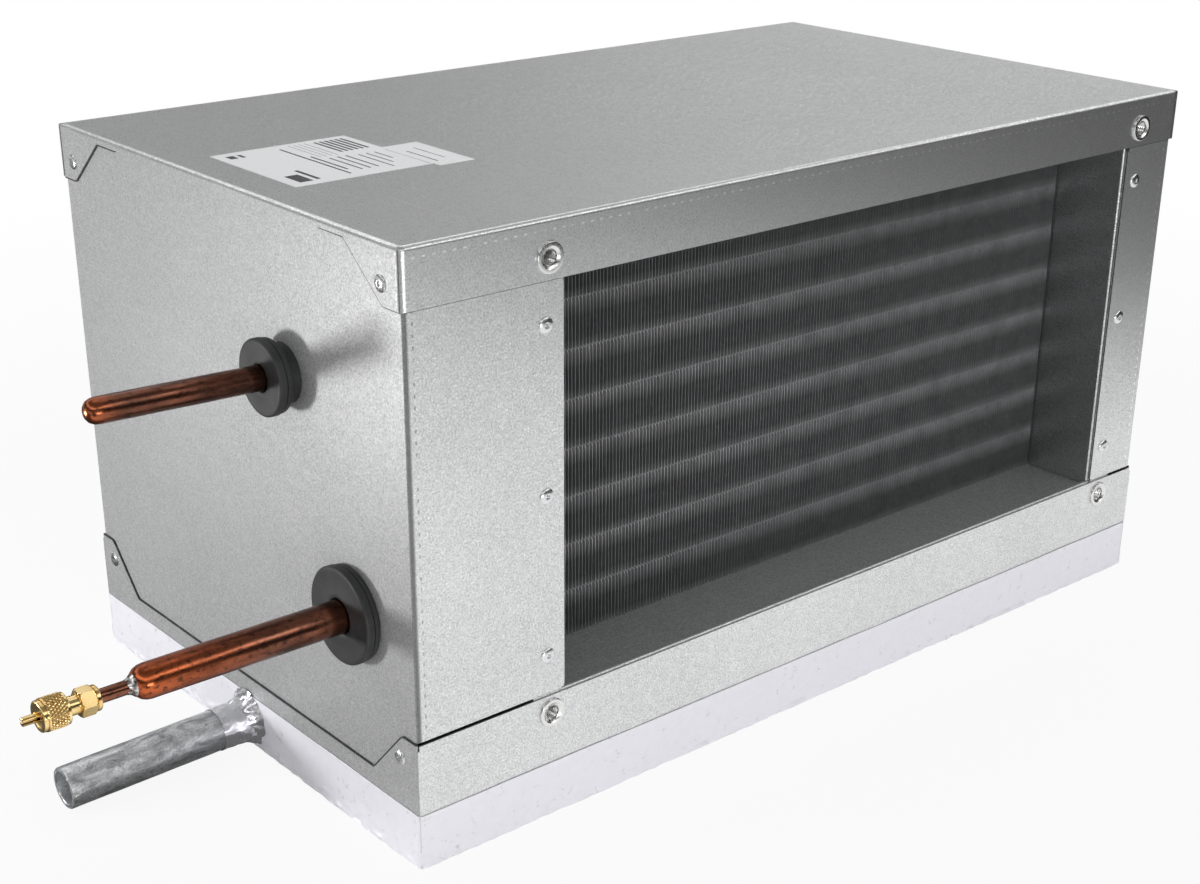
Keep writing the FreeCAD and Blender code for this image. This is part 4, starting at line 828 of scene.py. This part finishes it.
def along_liquid(x):
    """How far along the liquid pipe's axis a place lies, from where it crosses the panel."""
    return (x - LIQUID_CROSS.x) / cos(radians(LIQUID_RISE))


liquid_low, liquid_high = node_box("liquid_pipe")
liquid_tip, liquid_end = along_liquid(liquid_low.x), along_liquid(liquid_high.x)
liquid_dome = [(0, 0.1), (0.15, 1.6), (0.8, 3.4), (2, 4.8), (4, 5.7), (6.5, 6)]
liquid = domed_pipe(liquid_dome, liquid_tip, liquid_end, 56, dented(11, 0.08, 20))
liquid.moved(Matrix.Translation(LIQUID_CROSS) @ LIQUID_SLOPE)
liquid_copper = copper("liquid_copper", liquid_low.x + 16, liquid_low.x + 2, (0.4, 0.11, 0.045))
make("liquid_line", liquid, liquid_copper, "liquid_pipe")


# Distributor and its tubes
reach = along_liquid(node_box("liquid_distributor")[1].x)
manifold = LIQUID_CROSS + LIQUID_SLOPE.to_3x3() @ Vector((1, 0, 0)) * reach
manifold_profile = [
    (-20, 6.1), (-20, 7.6), (-19.6, 8), (-15, 8), (-5, 10.3), (-4.6, 10.5), (-0.4, 10.5), (0, 10.1),
]
distributor = lathe(manifold_profile, ends=2).moved(Matrix.Translation(manifold) @ LIQUID_SLOPE)
make("distributor_body", distributor, brass("distributor_brass", 0.3), "liquid_distributor")

capillaries = Form()
outlet_spread = 3.2
bend = 8
for order, number in enumerate((1, 3, 5, 7)):
    inlet = tube_place(2, number, -TUBE_END)
    side = 1 if order % 2 else -1
    level = -1 if inlet.z < manifold.z - TUBE_PITCH / 2 else 1
    start = manifold + Vector((0.2, side * outlet_spread, level * outlet_spread))
    if abs(inlet.z - start.z) > 2 * bend:
        run_x = manifold.x + 2 + bend + (5.8 if side > 0 else 0)
        path = rounded_path([start, (run_x, start.y, start.z), (run_x, inlet.y, inlet.z), inlet], bend)
    else:
        lead = Vector((bend, 0, 0))
        path = rounded_path([start, start + lead, inlet - lead, inlet], 10)
    capillaries.stamp(sweep(path, 2.4, 16))
make("distributor_tube_set", capillaries, coil_copper, "distributor_tubes")


# Rubber grommets
def grommet(name, node, radius, bore, axis_matrix):
    """A grommet with rounded flanges on both sides of the panel."""
    low, high = node_box(node)
    outer = 7.5
    edge = 1.1
    groove = radius - 4
    back = high.x - low.x - 3
    profile = [
        (1.2, bore), (0.3, bore + 0.5), (0, bore + 1.4), (0.25, bore + 3), (0.05, radius - edge - 1.5),
        *arc(edge, radius - edge, edge, 180, 90, 5),
        (3.7, radius), (4, radius - 0.9), (4.4, radius - 0.9), (4.6, radius - 0.5),
        *arc(outer - edge, radius - 0.5 - edge, edge, 90, 0, 5),
        (outer, groove + 0.3), (outer + 0.2, groove), (back, groove), (back, radius - 2),
        (back + 0.5, radius - 1.2), (back + 3, radius - 1.6), (back + 3, bore), (1.2, bore),
    ]
    form = lathe(shifted(profile, low.x), 96, dented(low.x, 0.1, 10)).moved(axis_matrix)
    make(name, form, rubber_finish, node)


rubber_finish = rubber("black_rubber")
grommet("suction_seal", "suction_grommet", 23.5, 8.25, SUCTION_AXIS)
grommet("liquid_seal", "liquid_grommet", 18, 6.25, Matrix.Translation((0, LIQUID_Y, LIQUID_CROSS.z)))


# Drain pipe, with a neck up to the tray
drain_low, drain_high = node_box("drain_pipe")
drain_y = (drain_low.y + drain_high.y) / 2
drain_wall_level = -151
drain_tip = 102 / cos(radians(DRAIN_FALL))
drain_slope = turned(-DRAIN_FALL, "Y") @ turned(180, "Z")
drain_axis = Matrix.Translation((-286.5, drain_y, drain_wall_level)) @ drain_slope
drain_sides = 64
bore = DRAIN_RADIUS - 2.5
bore_profile = [
    (0, bore + 0.5), (-0.5, bore + 0.05), (-12, bore), (-60, bore), (-110, bore), (-112, 0.1),
]
drain_profile = [
    (-46, 0.1), (-45, 6), (-42, DRAIN_RADIUS - 1), (-40, DRAIN_RADIUS),
    *straight(-40, drain_tip - 0.6, DRAIN_RADIUS, 30),
    (drain_tip - 0.1, DRAIN_RADIUS - 0.35), *shifted(bore_profile, drain_tip),
]
drain = lathe(drain_profile, drain_sides, dented(7, 0.12, 9), ends=2).moved(drain_axis)
bore_faces = 4 * drain_sides + 1
drain.kinds[-bore_faces:] = [1] * bore_faces
neck = lathe([(0, 9.5), (14, 9.5)], 32, ends=2)
drain.stamp(neck, Matrix.Translation((-248.5, drain_y, -152)) @ UPRIGHT)
# The bore's finish is a paler copy of the pipe's zinc: painted light on the inside wall.
lit_bore_zinc = zinc_pipe("lit_bore_zinc", (0.7, 0.71, 0.73), (0.92, 0.93, 0.95))
make("drain_tube", drain, [zinc_pipe("hot_dip_zinc"), lit_bore_zinc], "drain_pipe")


# Foil tape round the insulation, with a crumpled lower edge
def band_outline(low, high):
    """Points round a rectangle with its outward direction at each, closer set than its wrinkles."""
    step = 1.6
    corner_gap = 1.2
    corners = [(low.x, low.y), (high.x, low.y), (high.x, high.y), (low.x, high.y)]
    outline = []
    for i, corner in enumerate(corners):
        start = Vector((*corner, 0))
        along = Vector((*corners[(i + 1) % 4], 0)) - start
        direction = along.normalized()
        out = Vector((direction.y, -direction.x, 0))
        count = int(along.length / step)
        for k in range(count):
            at = corner_gap + (along.length - 2 * corner_gap) * k / (count - 1)
            outline.append((start + direction * at, out))
    return outline


def tape_band():
    low, high = node_box("foil_tape")

    def side(spot, out, h):
        """A point at a height over the lower edge, more crumpled further down."""
        fine = noise.noise((spot.x * 0.22, spot.y * 0.22, h * 0.35))
        broad = noise.noise((spot.x * 0.03, spot.y * 0.03, h * 0.08 + 9))
        crease = abs(noise.noise((spot.x * 0.09 + h * 0.11, spot.y * 0.09 + h * 0.11, 4)))
        crumple = max(0, 1 - h / 12)
        place = spot + out * (0.12 * broad + crumple * (1.1 * fine - 1.2 * crease + 0.7))
        rise = 0.8 * broad * (1 if h > 24 else 0.4) + crumple * 0.9 * fine
        place.z = low.z + max(h + rise, 0.05) if h < 20 else low.z + h + 0.5 * rise
        return place

    def underside(spot, out, inset):
        """A point of the torn edge that is folded under the board."""
        tear = noise.noise((spot.x * 0.13, spot.y * 0.13, 17))
        fine = noise.noise((spot.x * 0.3, spot.y * 0.3, inset))
        place = spot - out * inset * (1 + 0.35 * tear)
        place.z = low.z + 0.05 + 0.12 * abs(fine)
        return place

    outline = band_outline(low, high)
    heights = (28, 27.6, 24, 20, 16, 13, 11, 9, 7.5, 6, 4.8, 3.6, 2.6, 1.7, 0.9, 0.3)
    rings = [[side(*spot, h) for spot in outline] for h in heights]
    rings += [[underside(*spot, inset) for spot in outline] for inset in (0.6, 2, 4.5, 8, 12)]
    return Form().skin(rings)


tape = make("tape_band", tape_band(), foil("aluminium_tape"), "foil_tape", flat=80)
thick = tape.modifiers.new("tape_thickness", "SOLIDIFY")
thick.thickness = 0.12 * MM
thick.offset = -1
dress(foil("board_facing", (0.7, 0.71, 0.74), 0.5, 0.45), "insulation_board")


# Droplet eliminator behind the coil
dress(plastic("eliminator_plastic", (0.1, 0.105, 0.11)), "eliminator_rails", "eliminator_blades")


# Service valve on the suction pipe's end
THREAD_PITCH = 1.27
HEX_CORNER = 11.2 / sqrt(3)
NOSE_RADIUS = 5.4
CAP_RADIUS = 7.5


def chamfered_hexagon(low_x, high_x):
    """A hexagon whose corners are turned down to a cone at both ends."""
    slope = 0.6
    flats = HEX_CORNER * cos(pi / 6)
    steps = [0, 0.25, 0.5, 0.8, 1.2, 1.7]

    def section(x):
        cone = flats - 0.2 + min(x - low_x, high_x - x) / slope

        def radius(angle):
            within = (angle + pi / 6) % (pi / 3) - pi / 6
            return min(flats / cos(abs(within) - pi / 6), cone)

        return radius

    places = [low_x + step for step in steps] + [high_x - step for step in reversed(steps)]
    return Form().skin([circle(x, section(x), 96) for x in places], ends=2)


def valve_body():
    """A collar, a chamfered hexagon, a neck and a threaded nose, from the service tube outwards."""
    valve_low, valve_high = node_box("service_valve")
    collar_start = valve_high.x
    collar_radius = 5.7
    hex_start = collar_start - 2.1
    neck_start = hex_start - 7
    neck_radius = 4.2
    nose_start = neck_start - 4.9
    nose_end = valve_low.x
    rows_per_turn = 12
    rows = int((nose_start - nose_end) / THREAD_PITCH * rows_per_turn)

    def ridges(x, angle, radius):
        turn = (x - nose_end) / THREAD_PITCH - angle / (2 * pi)
        fade = min(1, (x - nose_end) / 0.8, max(0, (nose_start - 0.5 - x)) / 0.8)
        return -0.55 * fade * (1 - triangle_wave(turn)) if radius > 5 else 0

    collar = lathe([
        (hex_start, collar_radius - 0.5), (hex_start + 0.2, collar_radius),
        *arc(collar_start - 0.7, collar_radius - 0.7, 0.7, 90, 0),
        (collar_start, 3.3), (collar_start - 3, 3.2),
    ], 64)
    neck = lathe([(x, neck_radius) for x in (nose_start, nose_start + 0.2, neck_start + 0.1)])
    mouth = [(nose_end + 2.2, 2.4), (nose_end + 2.2, 3.4), (nose_end, 3.4), (nose_end, 4.5)]
    thread = [(nose_start - 0.05 - i * THREAD_PITCH / rows_per_turn, NOSE_RADIUS) for i in range(rows)]
    nose = lathe([*mouth, *thread[::-1], (nose_start, neck_radius)], 48, ridges)
    body = chamfered_hexagon(neck_start, hex_start)
    for part in (collar, neck, nose):
        body.stamp(part)
    return body.moved(SUCTION_AXIS)


def valve_cap():
    """A round cap with smooth end rings, a diamond knurl between them and a slotted key."""
    mouth = node_box("valve_cap")[1].x
    face = mouth - 12.2
    inside = NOSE_RADIUS + 0.3
    knurl_low = face + 2.9
    knurl_high = mouth - 1.5
    teeth = 30
    rows = 36
    axial_pitch = 3.2 * pi * CAP_RADIUS / teeth

    def knurl(x, angle, radius):
        if not knurl_low < x < knurl_high:
            return 0
        around = angle * teeth / (2 * pi)
        along = (x - knurl_low) / axial_pitch
        height = min(triangle_wave(around + along), triangle_wave(around - along))
        return -0.6 * (1 - height)

    outside = [
        (face, 5.6), *arc(face + 0.7, CAP_RADIUS - 1.3, 0.7, 180, 90), (face + 1.6, CAP_RADIUS - 0.6),
        (face + 1.7, CAP_RADIUS - 1), (face + 2, CAP_RADIUS - 1), (face + 2.1, CAP_RADIUS - 0.3),
        (knurl_low - 0.1, CAP_RADIUS - 0.2),
        *[(knurl_low + (knurl_high - knurl_low) * (i + 0.5) / rows, CAP_RADIUS - 0.05) for i in range(rows)],
        (knurl_high + 0.1, CAP_RADIUS - 0.5), (mouth - 0.9, CAP_RADIUS - 0.5),
        *arc(mouth - 0.5, CAP_RADIUS - 0.9, 0.4, 90, 0),
        (mouth, inside), (mouth - 6, inside), (mouth - 9.8, inside), (mouth - 9.9, 1.5),
    ]
    cap = lathe(outside, 4 * teeth, knurl)
    # Faces deep in the knurl's grooves take a darker brass: painted shade in the grooves.
    for number, corners in enumerate(cap.faces):
        spots = [cap.points[i] for i in corners]
        centre_x = sum(spot.x for spot in spots) / 4
        mean_radius = sum(hypot(spot.y, spot.z) for spot in spots) / 4
        if knurl_low < centre_x < knurl_high and mean_radius < CAP_RADIUS - 0.42:
            cap.kinds[number] = 1
    cap.stamp(lathe([(face + 0.25, 2.05), (face + 0.2, 4.4), (face, 4.8), (face, 5.6)], 64))
    for side in (-1, 1):
        cap.stamp(key_prong(face, side))
    return cap.moved(SUCTION_AXIS)


def key_prong(face, side):
    """Half of the core key: a round bar split by a slot, with an eased end."""
    radius = 2
    half_slot = 0.65
    length = 6.9
    open_angle = asin(half_slot / radius)
    angles = [open_angle + (pi - 2 * open_angle) * i / 12 for i in range(13)]
    rings = []
    for x, ease in ((0.4, 0), (-4, 0), (-length + 0.4, 0), (-length + 0.1, 0.12), (-length, 0.35)):
        eased = radius - ease
        ring = [(face + x, eased * cos(a), side * max(eased * sin(a), half_slot)) for a in angles]
        rings.append(ring if side > 0 else ring[::-1])
    return Form().skin(rings, ends=2)


valve_brass = brass("valve_brass")
# Darker brass for the painted shade in the knurl's grooves.
shaded_groove_brass = bright_metal("shaded_groove_brass", (0.42, 0.26, 0.09), 0.4)
make("valve_body", valve_body(), valve_brass, "service_valve")
make("knurled_cap", valve_cap(), [valve_brass, shaded_groove_brass], "valve_cap", body="valve_cap")
dress(valve_brass, "valve_core", "core_pin")
dress(rubber_finish, "cap_seal")


# Service tube, with silver braze where it enters the suction pipe's dome
tube_low, tube_high = node_box("service_tube")
tube_radius = (tube_high.z - tube_low.z) / 2
tube_bore = tube_radius - 0.8
tube_profile = [
    (tube_low.x, tube_bore), (tube_low.x, tube_radius),
    *straight(tube_low.x, tube_high.x, tube_radius, 20),
    (tube_high.x, tube_bore), (tube_low.x, tube_bore),
]
service = lathe(tube_profile, 40, dented(5, 0.08, 8)).moved(SUCTION_AXIS)
make("service_stub", service, copper("stub_copper"), "service_tube")
braze_steps = [(-3, -0.2), (-2.4, 0.1), (-1.2, 0.4), (-0.3, 0.9), (0.3, 1.5), (0.8, 1.9), (1.2, 1.6)]
braze_profile = [(suction_tip + x, tube_radius + rise) for x, rise in braze_steps]
braze = lathe(braze_profile, 48, dented(8, 0.45, 2.2)).moved(SUCTION_AXIS)
make("dome_braze", braze, silver_braze("silver_braze"), slot="suction_pipe")


# Label: bare paper with ruled lines and plain bars
def label_print():
    """Bars on the paper, each from x0 to x1 and from y0 to y1 as measured from its rear left corner."""
    low, high = node_box("rating_label")
    rise = 0.02
    bars = [(33, 34.2, 8, 70), (36.5, 37.7, 30, 62), (6, 13, 57, 71), (15.5, 17.5, 50, 70), (5, 9, 6, 12),
            (11, 13, 6, 12), (73.5, 73.8, 38, 76), (79, 79.8, 48, 74), (86, 86.6, 44, 70)]
    bars += [(54 + 3 * i, 55.5 + 3 * i, 5, 30) for i in range(6)]
    bars += [(40.5 + 3 * i, 40.8 + 3 * i, 4, 34) for i in range(4)]
    bars += [(42 + 4.5 * i, 43 + 4.5 * i, 38, 66) for i in range(3)]
    bars += [(57 + 4.5 * i, 57.8 + 4.5 * i, 40, 70 - 7 * i) for i in range(3)]
    form = Form()
    for x0, x1, y0, y1 in bars:
        corners = [(low.x + x, high.y - y) for x, y in ((x0, y0), (x1, y0), (x1, y1), (x0, y1))]
        form.skin([[(x, y, high.z + z) for x, y in corners] for z in (rise, -0.01)], ends=1)
    return form


dress(paper("label_paper"), "rating_label")
make("label_bars", label_print(), ink("label_ink"), slot="rating_label")


# Foil wrapped round the drain pipe where it leaves the insulation
def drain_wrap():
    rings = []
    sides = 72
    for step in range(15):
        t = step / 14
        x = 20 * (1 - t)
        flare = 4.2 * exp(-x / 2.6)
        loose = 0.15 + 0.85 * t * t
        ring = []
        for i in range(sides):
            angle = 2 * pi * i / sides
            spot = Vector((x * 0.16, 2.4 * cos(angle), 2.4 * sin(angle)))
            fold = abs(noise.noise(spot + Vector((3, 0, 0))))
            radius = DRAIN_RADIUS + 0.25 + flare + 3.2 * loose * fold
            along = max(x, 0.35) + 0.5 * noise.noise(spot * 2.2)
            ring.append((along, radius * cos(angle), radius * sin(angle)))
        rings.append(ring)
    return Form().skin(rings).moved(drain_axis)


make("drain_foil", drain_wrap(), foil("wrap_foil", (0.86, 0.86, 0.9), 0.9, 0.22), slot="foil_tape", flat=22)


# Stage: pale floor, soft light and the photograph's camera
def stage_floor():
    """A pale table: matt with the object's shadow, and pure white towards its rim.

    What the sheets mirror of it is bright at the left and in front, and dark beyond.
    """
    size = 1.9
    level = cad_low.z - 0.0002
    mesh = bpy.data.meshes.new("floor")
    rim = [(size * cos(pi * i / 32), size * sin(pi * i / 32), level) for i in range(64)]
    mesh.from_pydata(rim, [], [tuple(range(64))])
    floor = placed("floor", mesh)
    material = bpy.data.materials.new("pale_floor")
    shade = Nodes(material)
    shade.tree.nodes.clear()
    place = shade.node("TexCoord").outputs["Object"]
    matt = shade.node("BsdfDiffuse", {"Color": (0.86, 0.86, 0.86, 1)}).outputs[0]
    glow = shade.node("Emission").outputs[0]
    share = shade.ramp(shade.vector("DISTANCE", place, (0, 0.1, level)), 0.5, 1.3, 0.9, 1)
    seen = shade.shared(share, matt, glow)
    far = shade.ramp(shade.vector("DOT_PRODUCT", place, (0.82, -0.57, 0)), 0.46, 0.92, 1, 0.02)
    near = shade.ramp(shade.vector("DISTANCE", place, (-0.9, -0.8, level)), 0.3, 0.85, 0.08, 1)
    depth = shade.node("SeparateXYZ", {0: place}).outputs["Y"]
    open_floor = shade.product(far, near, shade.ramp(depth, -0.05, 0.12, 1.15, 0.1))
    mirrored = shade.node("Emission", {"Strength": open_floor}).outputs[0]
    path = shade.node("LightPath")
    unseen = shade.shared(path.outputs["Is Glossy Ray"], matt, mirrored)
    surface = shade.shared(path.outputs["Is Camera Ray"], unseen, seen)
    shade.node("OutputMaterial", {"Surface": surface})
    mesh.materials.append(material)


def stage_light(name, place, target, width, height, power):
    """A flat lamp; places and sizes in metres, power in watts."""
    data = bpy.data.lights.new(name, "AREA")
    data.shape = "RECTANGLE"
    data.size = width
    data.size_y = height
    data.energy = power
    lamp = placed(name, data)
    lamp.location = place
    lamp.rotation_mode = "QUATERNION"
    lamp.rotation_quaternion = (Vector(target) - Vector(place)).to_track_quat("-Z", "Y")


def stage_world():
    """A white backdrop; for the object a grey room with a bright band of ceiling and a dark side."""
    world = bpy.data.worlds.new("studio")
    bpy.context.scene.world = world
    shade = Nodes(world)
    shade.tree.nodes.clear()
    direction = shade.node("TexCoord").outputs["Generated"]

    def towards(aim):
        return shade.vector("DOT_PRODUCT", direction, Vector(aim).normalized())

    height = shade.node("SeparateXYZ", {0: direction}).outputs["Z"]
    horizon = shade.ramp(height, 0.03, 0.26, 0.86, 0)
    rising = shade.ramp(height, 0.43, 0.52, 0, 2.7)
    fading = shade.ramp(height, 0.6, 0.72, 1, 0.1)
    dark_side = shade.ramp(towards((0.82, -0.56, -0.1)), 0.35, 0.8, 1, 0.04)
    window = shade.ramp(towards((0.87, 0.5, 0.1)), 0.88, 0.985, 0, 0.45)
    room_light = shade.product(shade.math("ADD", horizon, window), dark_side)
    brightness = shade.math("ADD", room_light, shade.product(rising, fading))
    room = shade.node("Background", {"Strength": brightness}).outputs[0]
    backdrop = shade.node("Background", {"Color": (1, 1, 1, 1)}).outputs[0]
    seen = shade.node("LightPath").outputs["Is Camera Ray"]
    shade.node("OutputWorld", {"Surface": shade.shared(seen, room, backdrop)})


def stage_camera():
    """The photograph's view: place in metres, turn, tilt and roll in degrees."""
    data = bpy.data.cameras.new("camera")
    camera = placed("camera", data)
    place = Matrix.Translation((-0.7007, -0.6156, 0.3315))
    camera.matrix_world = place @ turned(-40.51, "Z") @ turned(90 - 23.64, "X") @ turned(0.49, "Z")
    data.sensor_width = 36
    data.lens = 57.27
    data.shift_x = -0.0087
    data.shift_y = 0.0678
    data.clip_start = 0.01
    bpy.context.scene.camera = camera


stage_floor()
stage_world()
stage_light("overhead", (0.1, 0.5, 1.3), (0, 0.1, 0), 1.2, 1, 3.2)
stage_light("low_side", (-0.8, 0.45, -0.09), (-0.28, 0.12, 0), 0.09, 0.09, 1.85)
stage_light("low_front", (-0.5, -0.95, -0.06), (0.05, 0, -0.15), 0.5, 0.12, 2.3)
stage_light("front_fill", (0.7, -1.3, 0.9), (0, 0, 0), 0.8, 0.6, 2)
stage_camera()
bpy.context.scene.view_settings.view_transform = "Standard"
